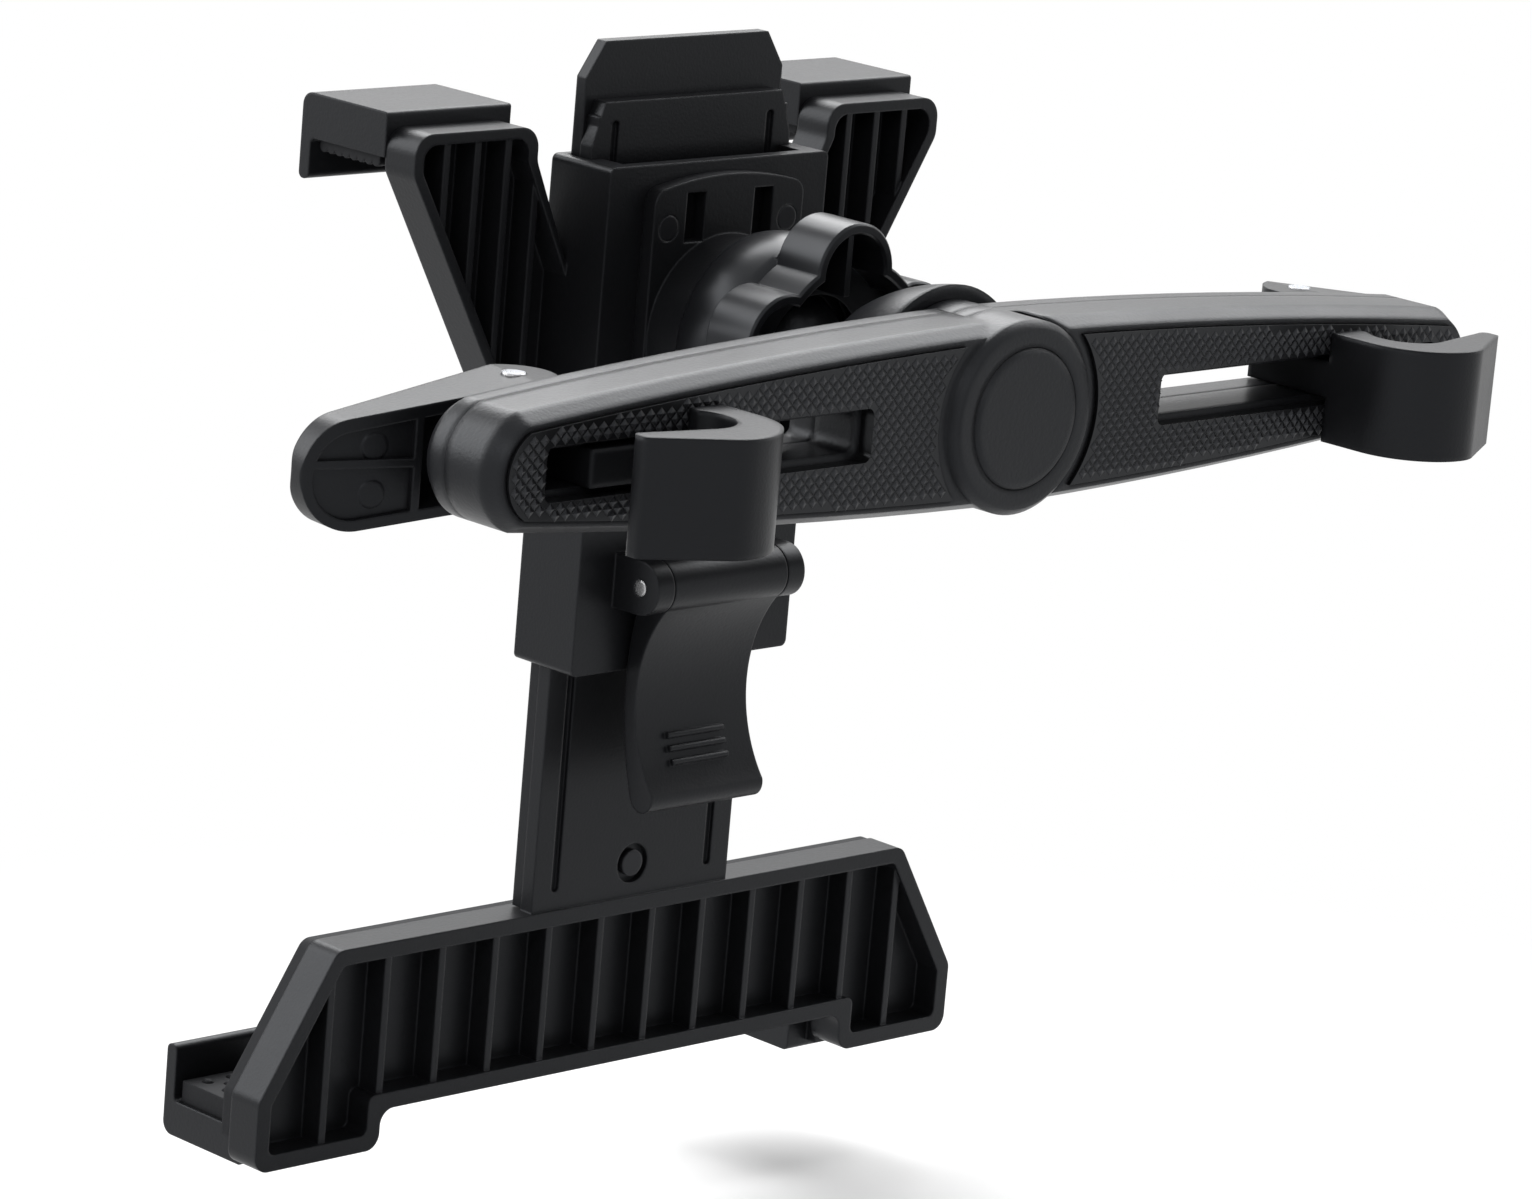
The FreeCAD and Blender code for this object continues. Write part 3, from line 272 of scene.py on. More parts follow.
@dataclass(frozen=True)
class Finish:
    """A procedural surface, its lengths in metres.

    The grain is the mould's fine texture, and the patches are slow changes of shade and sheen. Edges are
    rounded and lighter. Where a stud height is given, studs on the face at the given depth carry a painted
    highlight at their tips, and their feet and the face between them painted shade.
    """

    name: str
    colour: tuple[float, float, float]
    roughness: float
    slot: Slot
    metallic: float = 0.0
    specular: float = 0.2
    specular_tint: tuple[float, float, float, float] = (0.90, 0.94, 1.0, 1.0)
    grain: float = 0.6 * MM
    grain_height: float = 0.06 * MM
    grain_detail: float = 2.0
    grain_sheen: float = 0.06
    grain_bump: float = 0.5
    patch: float = 20.0 * MM
    patch_detail: float = 3.0
    patch_shade: float = 0.24
    patch_sheen: float = 0.1
    edge_radius: float = 0.6 * MM
    edge_samples: int = 4
    edge_gain: float = 3.0
    edge_lift: float = 2.0
    # Painted highlight and shade on studs: the face's depth, the studs' height, the painted shade at their
    # feet and the gain of the painted highlight towards the tips.
    painted_tip_face: float = 0.0
    painted_tip_height: float = 0.0
    painted_foot_shade: float = 0.5
    painted_tip_light: float = 2.4

    def build(self) -> bpy.types.Material:
        """Makes the material.

        Returns:
            The material.
        """
        material = bpy.data.materials.new(self.name)
        material.use_nodes = True
        graph = Graph(material.node_tree)
        place = graph.wire("ShaderNodeTexCoord", output="Object")
        noises = ((self.grain, self.grain_detail), (self.patch, self.patch_detail))
        grain, patch = (graph.wire("ShaderNodeTexNoise", None,
                                   {"Vector": place, "Scale": 1 / size, "Detail": detail})
                        for size, detail in noises)
        rounded = graph.wire("ShaderNodeBevel", {"samples": self.edge_samples}, {"Radius": self.edge_radius})
        shade = (1 + self.patch_shade * (patch - NOISE_MIDDLE)
                 + self.edge(graph, rounded) * (self.edge_lift - 1))
        # Painted highlight on the stud tips, with painted shade at their feet and on the face between them.
        if self.painted_tip_height:
            shade = shade * (self.painted_foot_shade + self.painted_tip_light * self.proud(graph, place))
        colour = graph.wire("ShaderNodeVectorMath", {"operation": "SCALE"},
                            {0: self.colour, "Scale": shade}, "Vector")
        roughness = (self.roughness + self.patch_sheen * (patch - NOISE_MIDDLE)
                     + self.grain_sheen * (grain - NOISE_MIDDLE))
        bump = graph.wire("ShaderNodeBump", None, {"Height": grain, "Strength": self.grain_bump,
                                                   "Distance": self.grain_height, "Normal": rounded})
        shader = graph.wire("ShaderNodeBsdfPrincipled", None,
                            {"Base Color": colour, "Roughness": roughness, "Metallic": self.metallic,
                             "Specular IOR Level": self.specular, "Specular Tint": self.specular_tint,
                             "Normal": bump})
        graph.node("ShaderNodeOutputMaterial", None, {"Surface": shader})
        return material

    def edge(self, graph: Graph, rounded: Wire) -> Wire:
        """Finds the edges, where the rounded normal leaves the plain one.

        Args:
            graph: Graph of the material.
            rounded: Normal with rounded edges.

        Returns:
            1 at an edge and 0 away from it.
        """
        plain = graph.wire("ShaderNodeNewGeometry", output="Normal")
        match = graph.wire("ShaderNodeVectorMath", {"operation": "DOT_PRODUCT"},
                           {0: rounded, 1: plain}, "Value")
        return graph.wire("ShaderNodeClamp", None, {"Value": (1 - match) * self.edge_gain})

    def proud(self, graph: Graph, place: Wire) -> Wire:
        """Measures how far a point stands out of the studded face.

        Args:
            graph: Graph of the material.
            place: Object coordinates.

        Returns:
            0 on the face and 1 at the tip of a stud.
        """
        depth = graph.wire("ShaderNodeSeparateXYZ", None, {0: place}, "Y")
        height = (self.painted_tip_face - depth) * (1 / self.painted_tip_height)
        return graph.wire("ShaderNodeClamp", None, {"Value": height})


FRAME_ABS = Finish("frame_black_abs", (0.0075, 0.0077, 0.0088), 0.38, Slot.PLASTIC)
HOOK_ABS = replace(FRAME_ABS, name="hook_black_abs", edge_radius=1.4 * MM, edge_lift=1.4)
ARM_ABS = Finish("arm_black_abs", (0.0095, 0.0098, 0.0112), 0.34, Slot.PLASTIC, specular=0.24,
                 grain_height=0.08 * MM, edge_radius=2.0 * MM, edge_lift=1.3)
NUT_ABS = Finish("nut_black_abs", (0.0085, 0.0088, 0.0102), 0.31, Slot.PLASTIC, specular=0.26,
                 grain_height=0.012 * MM, edge_radius=0.3 * MM)
PAD_RUBBER = Finish("pad_black_rubber", (0.0095, 0.0095, 0.0105), 0.68, Slot.RUBBER, grain=0.9 * MM,
                    grain_height=0.1 * MM, edge_lift=1.5)
# The inserts' knurl studs carry a painted highlight at the tips and painted shade at their feet.
INSERT_RUBBER = Finish("insert_black_rubber", (0.0095, 0.0096, 0.0108), 0.34, Slot.RUBBER, specular=0.3,
                       grain=0.8 * MM, grain_height=0.03 * MM, edge_radius=0.12 * MM,
                       painted_tip_face=INSERT_FACE_Y, painted_tip_height=KNURL_HEIGHT)
PIN_STEEL = Finish("pin_steel", (0.55, 0.55, 0.56), 0.28, Slot.STEEL, metallic=1.0, specular=0.5,
                   grain_height=0.02 * MM, edge_lift=1.05)
SCREW_BLACK = Finish("blackened_screw", (0.014, 0.014, 0.016), 0.34, Slot.STEEL, grain_height=0.02 * MM)


class FinishShelf:
    """Makes each finish once and hands it out."""

    def __init__(self) -> None:
        """Starts with nothing made."""
        self.made: dict[str, bpy.types.Material] = {}

    def get(self, finish: Finish) -> bpy.types.Material:
        """Gives the finish's material.

        Args:
            finish: The finish.

        Returns:
            Its material, made on first use.
        """
        if finish.name not in self.made:
            self.made[finish.name] = finish.build()
        return self.made[finish.name]

    def dress(self, piece: bpy.types.Object, finish: Finish) -> None:
        """Gives a piece one finish all over.

        Args:
            piece: The object.
            finish: Its finish.
        """
        piece.data.materials.clear()
        piece.data.materials.append(self.get(finish))


@dataclass(frozen=True)
class StudField:
    """Even field of small raised studs over one flat face, made by Geometry Nodes.

    The grid is turned, and spread wider than the face by a factor. A face is taken as flat by the cosine of
    its tilt and as level by its depth. A short ray tells which grid points lie over it.
    """

    name: str
    pitch: float
    base: float
    crown: float
    height: float
    sides: int
    margin: float
    turn: float = math.radians(45)
    spread: float = 3.0
    flat: float = 0.98
    level: float = 0.01 * MM
    ray: float = 1.0 * MM

    def tree(self, material: bpy.types.Material) -> bpy.types.NodeTree:
        """Builds the node tree, which keeps the grid points that lie over the face and off its edge.

        Args:
            material: What the studs are made of.

        Returns:
            The tree.
        """
        tree = bpy.data.node_groups.new(self.name, "GeometryNodeTree")
        graph = Graph(tree)
        tree.interface.new_socket("Face", in_out="INPUT", socket_type="NodeSocketGeometry")
        for name in STUD_INPUTS:
            tree.interface.new_socket(name, in_out="INPUT", socket_type="NodeSocketFloat")
        tree.interface.new_socket("Studs", in_out="OUTPUT", socket_type="NodeSocketGeometry")
        given = graph.node("NodeGroupInput").outputs
        face = Wire(graph, given["Face"])
        reach, pitch, base, crown, height, margin = (Wire(graph, given[name]) for name in STUD_INPUTS)
        count = graph.math("DIVIDE", reach, pitch)
        grid = graph.wire("GeometryNodeMeshGrid", None, {"Size X": reach, "Size Y": reach,
                                                         "Vertices X": count, "Vertices Y": count})
        turned = graph.wire("GeometryNodeTransform", None,
                            {"Geometry": grid, "Rotation": (0.0, 0.0, self.turn)})
        neighbours = graph.wire("GeometryNodeInputMeshEdgeNeighbors")
        rim = graph.wire("FunctionNodeCompare", {"data_type": "INT", "operation": "EQUAL"},
                         {2: neighbours, 3: 1})
        outline = graph.wire("GeometryNodeSeparateGeometry", {"domain": "EDGE"},
                             {"Geometry": face, "Selection": rim})
        distance = graph.wire("GeometryNodeProximity", {"target_element": "EDGES"}, {0: outline}, "Distance")
        place = graph.wire("GeometryNodeInputPosition")
        above = graph.wire("ShaderNodeVectorMath", {"operation": "ADD"},
                           {0: place, 1: (0.0, 0.0, self.ray)}, "Vector")
        hit = graph.wire("GeometryNodeRaycast", None,
                         {"Target Geometry": face, "Source Position": above,
                          "Ray Direction": (0.0, 0.0, -1.0), "Ray Length": 2 * self.ray}, "Is Hit")
        clear = graph.math("GREATER_THAN", distance, margin)
        kept = graph.wire("GeometryNodeSeparateGeometry", {"domain": "POINT"},
                          {"Geometry": turned, "Selection": clear * hit})
        stud = graph.wire("GeometryNodeMeshCone", {"fill_type": "NGON"},
                          {"Vertices": self.sides, "Radius Top": crown, "Radius Bottom": base,
                           "Depth": height})
        placed = graph.wire("GeometryNodeInstanceOnPoints", None, {"Points": kept, "Instance": stud})
        real = graph.wire("GeometryNodeRealizeInstances", None, {"Geometry": placed})
        dressed = graph.wire("GeometryNodeSetMaterial", None, {"Geometry": real, "Material": material})
        graph.node("NodeGroupOutput", None, {0: dressed})
        return tree

    def face(self, node: bpy.types.Object, up: Vector) -> tuple[bmesh.types.BMesh, float]:
        """Copies the flat face of a CAD node that looks a given way.

        Args:
            node: The CAD node.
            up: Outward direction of the face.

        Returns:
            The face alone, and how far out it lies.
        """
        shape = bmesh.new()
        shape.from_mesh(node.data)
        bmesh.ops.remove_doubles(shape, verts=shape.verts, dist=MERGE)
        top = max(vert.co.dot(up) for vert in shape.verts)
        off = [face for face in shape.faces
               if face.normal.dot(up) < self.flat or face.calc_center_median().dot(up) < top - self.level]
        bmesh.ops.delete(shape, geom=off, context="FACES")
        return shape, top

    def cover(self, node: bpy.types.Object, up: Vector, name: str,
              material: bpy.types.Material) -> bpy.types.Object:
        """Covers the flat face of a CAD node that looks a given way.

        Args:
            node: The CAD node.
            up: Outward direction of the face.
            name: Name of the new piece.
            material: What the studs are made of.

        Returns:
            The studs as one plain mesh at the origin.
        """
        shape, top = self.face(node, up)
        centre = sum((vert.co for vert in shape.verts), Vector()) / len(shape.verts)
        reach = self.spread * max((vert.co - centre).length for vert in shape.verts)
        turn = up.rotation_difference(Vector((0, 0, 1))).to_matrix().to_4x4()
        place = turn @ Matrix.Translation(-(centre - up * centre.dot(up)) - up * top)
        bmesh.ops.transform(shape, matrix=place, verts=shape.verts)
        carrier = add_shape(name + "_face", shape)
        modifier = carrier.modifiers.new("studs", "NODES")
        modifier.node_group = self.tree(material)
        sizes = dict(zip(STUD_INPUTS, (reach, self.pitch, self.base, self.crown, self.height, self.margin)))
        for item in modifier.node_group.interface.items_tree:
            if item.in_out == "INPUT" and item.name in sizes:
                modifier[item.identifier] = sizes[item.name]
        ready = carrier.evaluated_get(bpy.context.evaluated_depsgraph_get())
        mesh = bpy.data.meshes.new_from_object(ready)
        mesh.transform(place.inverted())
        mesh.name = name
        bpy.data.objects.remove(carrier)
        LOG.info("%s: %d faces", name, len(mesh.polygons))
        return add(name, mesh)


@dataclass
class SubAssembly:
    """Pieces that are dressed together."""

    frame: dict[str, Any]
    shelf: FinishShelf
    finishes: dict[Finish, tuple[str, ...]] = field(default_factory=dict)

    def dress(self) -> None:
        """Gives every CAD node of the sub-assembly its finish."""
        for finish, nodes in self.finishes.items():
            for name in nodes:
                self.shelf.dress(self.frame["nodes"][name], finish)
                LOG.info("%s: %s", name, finish.name)

    def stud(self, studs: StudField, node: str, up: Vector, body: str, finish: Finish) -> None:
        """Covers one face with studs that ride on the node's body.

        Args:
            studs: The field's sizes.
            node: Name of the CAD node.
            up: Outward direction of the face.
            body: Name of the CAD body.
            finish: What the studs are made of.
        """
        piece = studs.cover(self.frame["nodes"][node], up, node + "_studs", self.shelf.get(finish))
        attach(piece, body)


@dataclass(frozen=True)
class LeverPanel:
    """Shallow panel in the hollow of a lever's paddle, with round mould marks.

    Places run along and up the lever from its pin. The hollow's rim and floor are planes, each given by its
    depth at the pin and its slope along the lever. The panel lies below the rim and goes into the floor.
    """

    pin_y: float = 34.0 * MM
    splay: float = math.radians(8)
    rim: Point = (-7.5 * MM, 6.0 / 41.0)
    floor: Point = (5.13 * MM, -3.5 / 31.0)
    sunk: float = 1.1 * MM
    bury: float = 0.5 * MM
    root: float = 21.2 * MM
    root_span: Point = (-11.1 * MM, 4.6 * MM)
    tip_centre: Point = (31.4 * MM, -4.8 * MM)
    tip_radius: float = 7.7 * MM
    tip_sweep: float = math.radians(98)
    mark_places: tuple[Point, ...] = ((28.0 * MM, -8.2 * MM), (28.0 * MM, -0.2 * MM))
    mark_radius: float = 2.2 * MM
    mark_proud: float = 0.25 * MM
    steps: int = 24

    def slab(self, shape: bmesh.types.BMesh, outline: list[Point], sunk: float) -> None:
        """Adds a plate that fills the lever's hollow from its floor up to below its rim.

        Args:
            shape: The mesh that takes it.
            outline: Its corners along and up the lever.
            sunk: How far its front lies below the rim.
        """
        rings = [[Vector((x, start + slope * x + shift, z)) for x, z in outline]
                 for (start, slope), shift in ((self.rim, sunk), (self.floor, self.bury))]
        front, back = skin(shape, rings)
        shape.faces.new(front)
        shape.faces.new(back[::-1])

    def shape(self, pin_x: float) -> bmesh.types.BMesh:
        """Makes the panel with its marks.

        Args:
            pin_x: Where the lever's pin stands, negative on the left.

        Returns:
            The panel in its place behind the arm.
        """
        low, high = self.root_span
        tip = arc(self.tip_centre, self.tip_radius, -self.tip_sweep, self.tip_sweep, self.steps)
        shape = bmesh.new()
        self.slab(shape, [(self.root, low)] + tip + [(self.root, high)], self.sunk)
        for place in self.mark_places:
            mark = arc(place, self.mark_radius, 0.0, 2 * math.pi, self.steps)[:-1]
            self.slab(shape, mark, self.sunk - self.mark_proud)
        bmesh.ops.rotate(shape, verts=shape.verts, matrix=Matrix.Rotation(self.splay, 3, "Z"))
        bmesh.ops.translate(shape, verts=shape.verts, vec=(abs(pin_x), self.pin_y, 0))
        if pin_x < 0:
            bmesh.ops.scale(shape, verts=shape.verts, vec=(-1, 1, 1))
        bmesh.ops.recalc_face_normals(shape, faces=shape.faces)
        return shape


@dataclass
class HeadrestClamp(SubAssembly):
    """Arms, hooks and cam levers."""

    finishes: dict[Finish, tuple[str, ...]] = field(default_factory=lambda: {
        ARM_ABS: ("left_arm", "right_arm", "left_cover", "right_cover", "centre_cap"),
        HOOK_ABS: ("left_hook", "right_hook"),
        FRAME_ABS: ("left_lever", "right_lever"),
        INSERT_RUBBER: ("left_insert", "right_insert"),
        PIN_STEEL: ("left_pin", "right_pin", "centre_screw"),
    })
    knurl: StudField = StudField("diamond_knurl", pitch=1.6 * MM, base=1.08 * MM, crown=0.16 * MM,
                                 height=KNURL_HEIGHT, sides=4, margin=0.8 * MM)
    panel: LeverPanel = LeverPanel()
    pins: tuple[tuple[str, float], ...] = (("left", -94.0 * MM), ("right", 102.0 * MM))

    def build(self) -> None:
        """Dresses the clamp, knurls its inserts and gives the levers their panels."""
        self.dress()
        for node, body in (("left_insert", "clamp"), ("right_insert", "right_clamp")):
            self.stud(self.knurl, node, Vector((0, -1, 0)), body, INSERT_RUBBER)
        for side, pin_x in self.pins:
            panel = add_shape(side + "_lever_panel", self.panel.shape(pin_x))
            self.shelf.dress(panel, FRAME_ABS)
            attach(panel, side + "_cam")


@dataclass(frozen=True)
class BallStem:
    """Domed foot, neck and ball, turned about the Y axis, with points as (y, radius)."""

    foot: Point = (26.0 * MM, 19.6 * MM)
    shoulder: Point = (35.0 * MM, 18.4 * MM)
    rim: Point = (42.5 * MM, 13.6 * MM)
    lip: Point = (0.6 * MM, 1.2 * MM)
    neck: float = 6.0 * MM
    ball_radius: float = 12.0 * MM
    turns: int = 72
    steps: int = 20

    def profile(self) -> list[Point]:
        """Half outline from the foot's middle to the ball's far pole.

        Returns:
            Its points.
        """
        points = [(self.foot[0], 0.0)] + bend(self.foot, self.shoulder, self.rim, self.steps)
        neck_y = self.rim[0] + self.lip[0]
        points += [(neck_y, self.rim[1] - self.lip[1]), (neck_y, self.neck)]
        start = math.acos(self.neck / self.ball_radius) + math.pi / 2
        return points + arc((BALL_Y, 0.0), self.ball_radius, start, 0.0, self.steps)

    def shape(self) -> bmesh.types.BMesh:
        """Turns the profile about the Y axis.

        Returns:
            The stem.
        """
        angles = [2 * math.pi * turn / self.turns for turn in range(self.turns)]
        shape = bmesh.new()
        skin(shape, [[Vector((radius * math.sin(angle), y, radius * math.cos(angle))) for angle in angles]
                     for y, radius in self.profile()])
        bmesh.ops.remove_doubles(shape, verts=shape.verts, dist=MERGE)
        return shape


@dataclass(frozen=True)
class HandNut:
    """Hollow hand nut round the Y axis: a skirt of round lobes, a dome, a bore and thin webs inside."""

    lobes: int = 5
    lobe_radius: float = 9.3 * MM
    lobe_centre: float = 16.7 * MM
    lobe_points: int = 24
    hub_radius: float = 19.6 * MM
    hub_points: int = 5
    skirt: Point = (49.0 * MM, 60.0 * MM)
    rim_round: float = 0.4 * MM
    wall: float = 2.0 * MM
    dome_radius: float = 21.0 * MM
    dome_steps: int = 14
    back: float = 72.3 * MM
    bore: float = 16.4 * MM
    bore_end: float = 62.3 * MM
    floor: float = 58.0 * MM
    hollow_radius: float = 14.6 * MM
    web: float = 1.3 * MM
    web_front: float = 51.0 * MM
    web_span: Point = (12.5 * MM, 24.3 * MM)
    web_bury: float = 0.2 * MM

    def outline(self, inset: float) -> list[Point]:
        """Outline of the grip: round lobes standing out of a round hub.

        Args:
            inset: How far the outline lies inside the outer one.

        Returns:
            Points as (x, z), the same number for any inset.
        """
        lobe, hub, reach = self.lobe_radius - inset, self.hub_radius - inset, self.lobe_centre
        meet = math.acos((reach ** 2 + hub ** 2 - lobe ** 2) / (2 * reach * hub))
        wide = math.atan2(hub * math.sin(meet), hub * math.cos(meet) - reach)
        step = 2 * math.pi / self.lobes
        one = arc((reach, 0.0), lobe, -wide, wide, self.lobe_points)
        one += arc((0.0, 0.0), hub, meet, step - meet, self.hub_points)[1:-1]
        points = []
        for index in range(self.lobes):
            sine, cosine = math.sin(index * step), math.cos(index * step)
            points += [(out * sine + across * cosine, out * cosine - across * sine) for out, across in one]
        return points

    def grip(self, y: float, inset: float) -> list[Vector]:
        """Lobed ring.

        Args:
            y: Where it lies.
            inset: How far it lies inside the outer outline.

        Returns:
            Its points.
        """
        return [Vector((x, y, z)) for x, z in self.outline(inset)]

    def circle(self, y: float, radius: float) -> list[Vector]:
        """Round ring with a point for every point of a lobed one.

        Args:
            y: Where it lies.
            radius: Its radius.

        Returns:
            Its points.
        """
        return [point.normalized() * radius + Vector((0, y, 0)) for point in self.grip(0.0, 0.0)]

    def sphere(self, y: float, radius: float) -> list[Vector]:
        """Round ring on a sphere about the ball's middle.

        Args:
            y: Where it lies.
            radius: The sphere's radius.

        Returns:
            Its points.
        """
        return self.circle(y, math.sqrt(radius ** 2 - (y - BALL_Y) ** 2))

    def rings(self) -> list[list[Vector]]:
        """Rings of the skirt, the dome, the bore for the socket and the open inside, back to the start.

        Returns:
            The closed round of rings.
        """
        front, back = self.skirt
        bow, wall = self.rim_round, self.wall
        dome_end = self.back - bow
        rings = [self.grip(front, bow), self.grip(front + bow, 0.0), self.grip(back - bow, 0.0),
                 self.grip(back, bow)]
        for place in range(1, self.dome_steps + 1):
            rings.append(self.sphere(back + (dome_end - back) * place / self.dome_steps, self.dome_radius))
        rings.append(self.circle(self.back, rings[-1][0].xz.length - bow))
        rings.append(self.circle(self.back, self.bore))
        rings.append(self.circle(self.bore_end, self.bore))
        for y in (self.bore_end, (self.bore_end + self.floor) / 2, self.floor):
            rings.append(self.sphere(y, self.hollow_radius))
        rings += [self.grip(self.floor, wall), self.grip(front + bow, wall), self.grip(front, wall - bow)]
        return rings + rings[:1]

    def add_webs(self, shape: bmesh.types.BMesh) -> None:
        """Adds the thin upright web in each lobe.

        Args:
            shape: The nut's mesh.
        """
        inner, outer = self.web_span
        root = self.floor + self.web_bury
        centre = Vector((0, (self.web_front + root) / 2, (inner + outer) / 2))
        size = Vector((self.web, root - self.web_front, outer - inner))
        block = Matrix.Translation(centre) @ Matrix.Diagonal(size.to_4d())
        for index in range(self.lobes):
            turn = Matrix.Rotation(2 * math.pi * index / self.lobes, 4, "Y")
            bmesh.ops.create_cube(shape, size=1.0, matrix=turn @ block)

    def shape(self) -> bmesh.types.BMesh:
        """Makes the nut with its webs.

        Returns:
            The nut.
        """
        shape = bmesh.new()
        skin(shape, self.rings())
        bmesh.ops.remove_doubles(shape, verts=shape.verts, dist=MERGE)
        self.add_webs(shape)
        return shape


@dataclass
class BallJoint(SubAssembly):
    """Ball stem, socket plate and hand nut."""

    finishes: dict[Finish, tuple[str, ...]] = field(default_factory=lambda: {
        NUT_ABS: ("clamp_nut", "ball_stem", "ball_seat"),
        FRAME_ABS: ("ball_plate",),
        SCREW_BLACK: ("plate_screws",),
    })
    stem: BallStem = BallStem()
    nut: HandNut = HandNut()
    crease: float = math.radians(40)

    def piece(self, name: str, shape: bmesh.types.BMesh) -> bpy.types.Object:
        """Shades a shape as round, apart from its sharp edges, and adds it to the scene.

        Args:
            name: Name of the piece.
            shape: Its shape, which is freed.

        Returns:
            The piece.
        """
        bmesh.ops.recalc_face_normals(shape, faces=shape.faces)
        for face in shape.faces:
            face.smooth = True
        for edge in shape.edges:
            edge.smooth = edge.calc_face_angle(0.0) < self.crease
        return add_shape(name, shape)

    def build(self) -> None:
        """Dresses the ball joint and gives the stem its domed foot and the nut its round lobes."""
        self.dress()
        stem = self.piece("ball_stem_dome", self.stem.shape())
        self.shelf.dress(stem, ARM_ABS)
        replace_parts(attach(stem, "stem"), "ball_stem")
        nut = self.piece("clamp_nut_lobes", self.nut.shape())
        self.shelf.dress(nut, NUT_ABS)
        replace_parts(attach(nut, "nut"), "clamp_nut")


@dataclass
class TabletCradle(SubAssembly):
    """Housing, claws, blade, bar and lock lever."""

    finishes: dict[Finish, tuple[str, ...]] = field(default_factory=lambda: {
        FRAME_ABS: ("cradle_housing", "upper_claw_left", "upper_claw_right", "lock_lever", "lower_bracket",
                    "blade_backing", "lower_claw_left", "lower_claw_right"),
        PAD_RUBBER: ("upper_pad_left", "upper_pad_right", "bar_pad", "lower_pad_left", "lower_pad_right"),
        PIN_STEEL: ("lock_pin",),
        SCREW_BLACK: ("blade_screw",),
    })
    dots: StudField = StudField("pad_dots", pitch=3.4 * MM, base=1.15 * MM, crown=0.6 * MM,
                                height=0.5 * MM, sides=10, margin=1.3 * MM)

    def build(self) -> None:
        """Dresses the cradle and dots its floor pads."""
        self.dress()
        for node in ("lower_pad_left", "lower_pad_right"):
            self.stud(self.dots, node, Vector((0, 0, 1)), "lower", PAD_RUBBER)


@dataclass(frozen=True)
class Lamp:
    """A soft box: its place and size in metres and its power in watts."""

    name: str
    place: tuple[float, float, float]
    size: float
    power: float


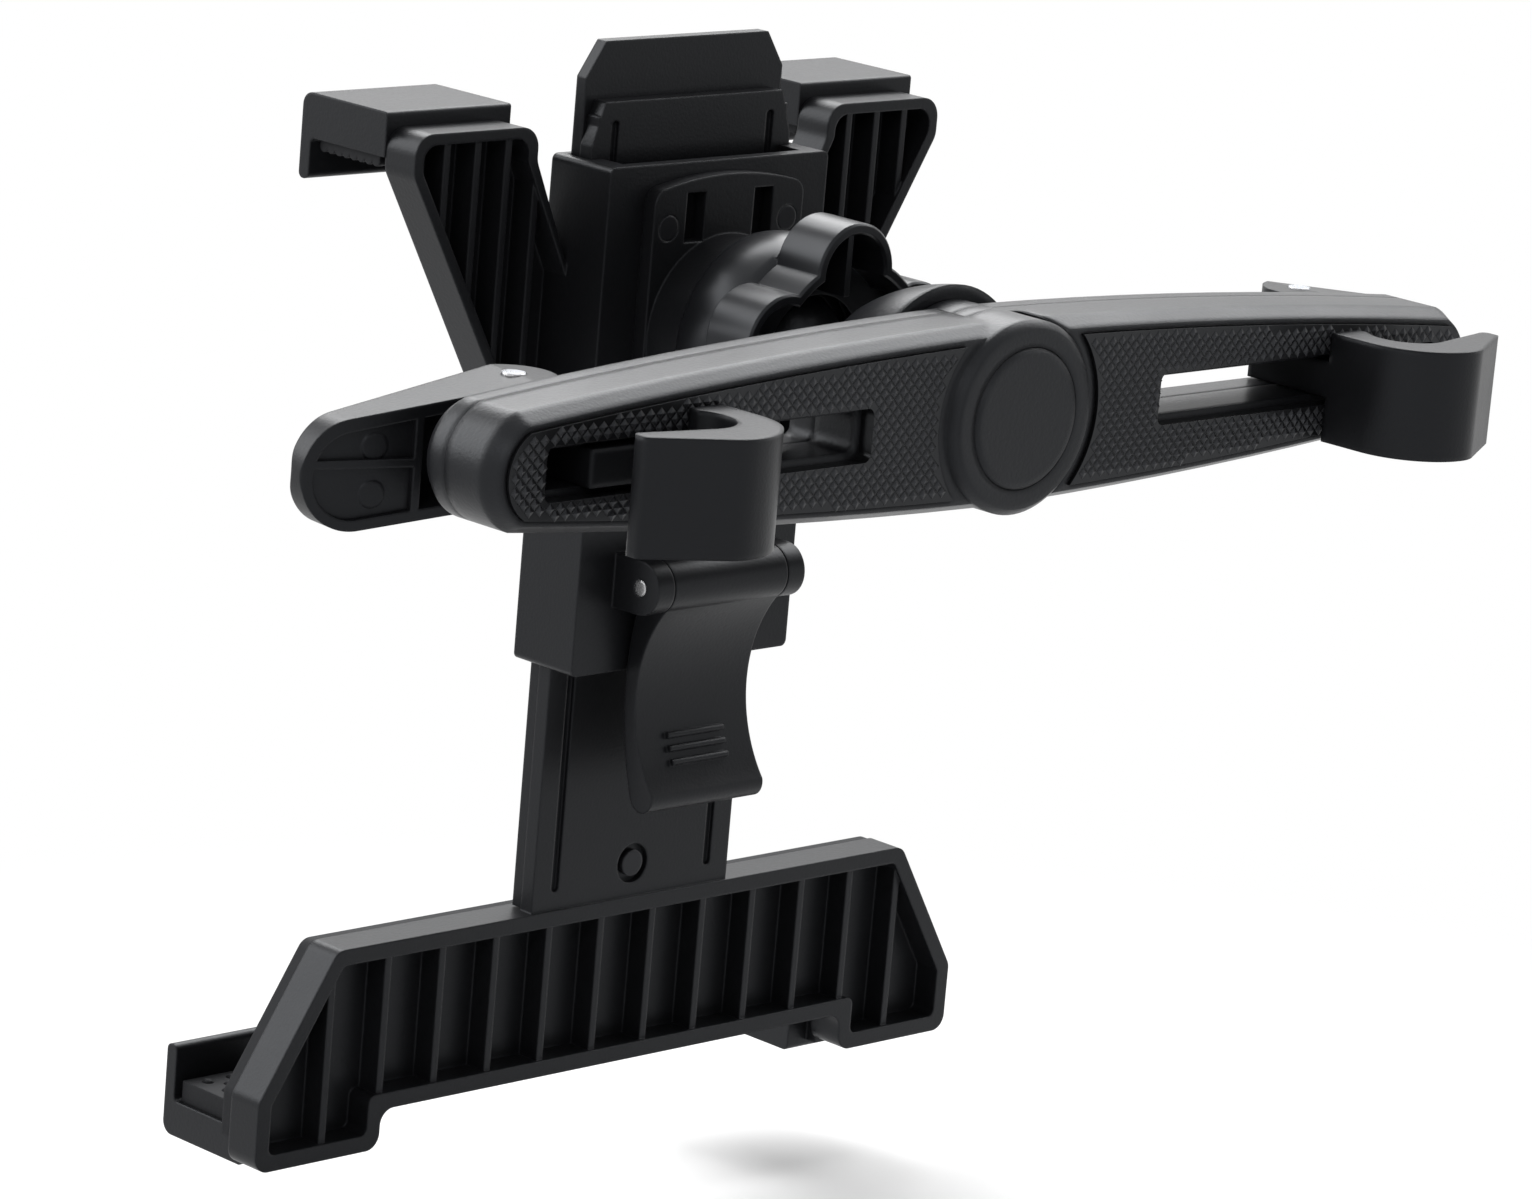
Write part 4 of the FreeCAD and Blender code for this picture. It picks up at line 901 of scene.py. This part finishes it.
@dataclass
class Studio:
    """Pale floor, soft boxes and the camera at the photograph's angle.

    Lengths are in metres, the lens and the sensor in millimetres and angles in degrees. The floor turns
    white between the two distances of its fade.
    """

    aim: Vector = field(default_factory=lambda: Vector((0.0, 0.05, -0.03)))
    ambient: float = 0.13
    floor_z: float = -0.172
    floor_size: float = 6.0
    floor_shade: float = 0.93
    fade: Point = (0.10, 0.34)
    lens: float = 153.07
    sensor: float = 36.0
    azimuth: float = -44.55
    elevation: float = 14.09
    roll: float = 4.80
    distance: float = 1.1893
    centre: Vector = field(default_factory=lambda: Vector((0.0, 0.0851, -0.0621)))
    shift: Point = (0.0565, 0.0403)
    lamps: tuple[Lamp, ...] = (
        Lamp("key_box", (-0.95, -0.55, 0.75), size=0.6, power=3.0),
        Lamp("bevel_box", (0.82, 0.24, 0.86), size=0.8, power=10.0),
        Lamp("back_box", (-0.66, 0.90, 0.55), size=0.9, power=12.0),
        Lamp("top_box", (0.48, 0.75, 0.76), size=0.7, power=10.0),
    )

    def build(self) -> None:
        """Sets up the light, the floor and the camera."""
        bpy.context.scene.view_settings.view_transform = "Standard"
        self.world()
        self.floor()
        for lamp in self.lamps:
            self.lamp(lamp)
        self.camera()

    @staticmethod
    def seen(graph: Graph) -> Wire:
        """Tells the rays that show the background from those that carry its light.

        Args:
            graph: Graph of the world or the floor.

        Returns:
            1 for a ray of the camera, of a mirror or through glass, and 0 for any other.
        """
        path = graph.node("ShaderNodeLightPath").outputs
        camera, mirror, glass = (Wire(graph, path[name])
                                 for name in ("Is Camera Ray", "Is Glossy Ray", "Is Transmission Ray"))
        return graph.math("MAXIMUM", graph.math("MAXIMUM", camera, mirror), glass)

    def world(self) -> None:
        """Even light from all round, seen as white by the camera."""
        world = bpy.data.worlds.new("studio")
        bpy.context.scene.world = world
        world.use_nodes = True
        graph = Graph(world.node_tree)
        strength = self.ambient + self.seen(graph) * (1 - self.ambient)
        light = graph.wire("ShaderNodeBackground", None, {"Color": WHITE, "Strength": strength})
        graph.node("ShaderNodeOutputWorld", None, {"Surface": light})

    def floor(self) -> None:
        """Pale floor that takes the shadow and fades to white away from the holder."""
        half = self.floor_size / 2
        mesh = bpy.data.meshes.new("floor")
        corners = [(-half, -half), (half, -half), (half, half), (-half, half)]
        mesh.from_pydata([(x, y, self.floor_z) for x, y in corners], [], [(0, 1, 2, 3)])
        mesh.materials.append(self.floor_material())
        floor = add("floor", mesh)

    def floor_material(self) -> bpy.types.Material:
        """Makes the floor's material, plain white far from the holder for the rays that show it.

        Returns:
            The material.
        """
        material = bpy.data.materials.new("floor_pale")
        material.use_nodes = True
        graph = Graph(material.node_tree)
        place = graph.wire("ShaderNodeTexCoord", output="Object")
        flat = graph.wire("ShaderNodeVectorMath", {"operation": "MULTIPLY"},
                          {0: place, 1: (1, 1, 0)}, "Vector")
        radius = graph.wire("ShaderNodeVectorMath", {"operation": "LENGTH"}, {0: flat}, "Value")
        away = graph.wire("ShaderNodeMapRange", {"interpolation_type": "SMOOTHSTEP"},
                          {"Value": radius, "From Min": self.fade[0], "From Max": self.fade[1]})
        pale = graph.wire("ShaderNodeBsdfDiffuse", None, {"Color": (*[self.floor_shade] * 3, 1.0)})
        white = graph.wire("ShaderNodeEmission", None, {"Color": WHITE})
        mixed = graph.wire("ShaderNodeMixShader", None, {0: away * self.seen(graph), 1: pale, 2: white})
        graph.node("ShaderNodeOutputMaterial", None, {"Surface": mixed})
        return material

    def lamp(self, lamp: Lamp) -> None:
        """Adds one soft box that looks at the holder.

        Args:
            lamp: Its place, size and power.
        """
        data = bpy.data.lights.new(lamp.name, "AREA")
        data.energy = lamp.power
        data.size = lamp.size
        item = add(lamp.name, data)
        item.location = lamp.place
        item.rotation_euler = (self.aim - Vector(lamp.place)).to_track_quat("-Z", "Y").to_euler()

    def camera(self) -> None:
        """Adds the camera at the photograph's angle, with its framing as a lens shift."""
        turn, rise, tip = (math.radians(angle) for angle in (self.azimuth, self.elevation, self.roll))
        back = Vector((math.sin(turn) * math.cos(rise), -math.cos(turn) * math.cos(rise), math.sin(rise)))
        level = Vector((math.cos(turn), math.sin(turn), 0))
        upright = back.cross(level)
        right = level * math.cos(tip) + upright * math.sin(tip)
        up = upright * math.cos(tip) - level * math.sin(tip)
        data = bpy.data.cameras.new("photo_angle")
        data.lens = self.lens
        data.sensor_width = self.sensor
        data.shift_x, data.shift_y = self.shift
        camera = add("photo_angle", data)
        axes = Matrix((right, up, back)).transposed().to_4x4()
        camera.matrix_world = Matrix.Translation(self.centre + back * self.distance) @ axes
        bpy.context.scene.camera = camera


def main() -> None:
    """Builds the sub-assemblies and the studio in order."""
    logging.basicConfig(level=logging.INFO, format="%(message)s")
    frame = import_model()
    shelf = FinishShelf()
    for kind in (HeadrestClamp, BallJoint, TabletCradle):
        kind(frame, shelf).build()
    Studio().build()


if __name__ == "__main__":
    main()
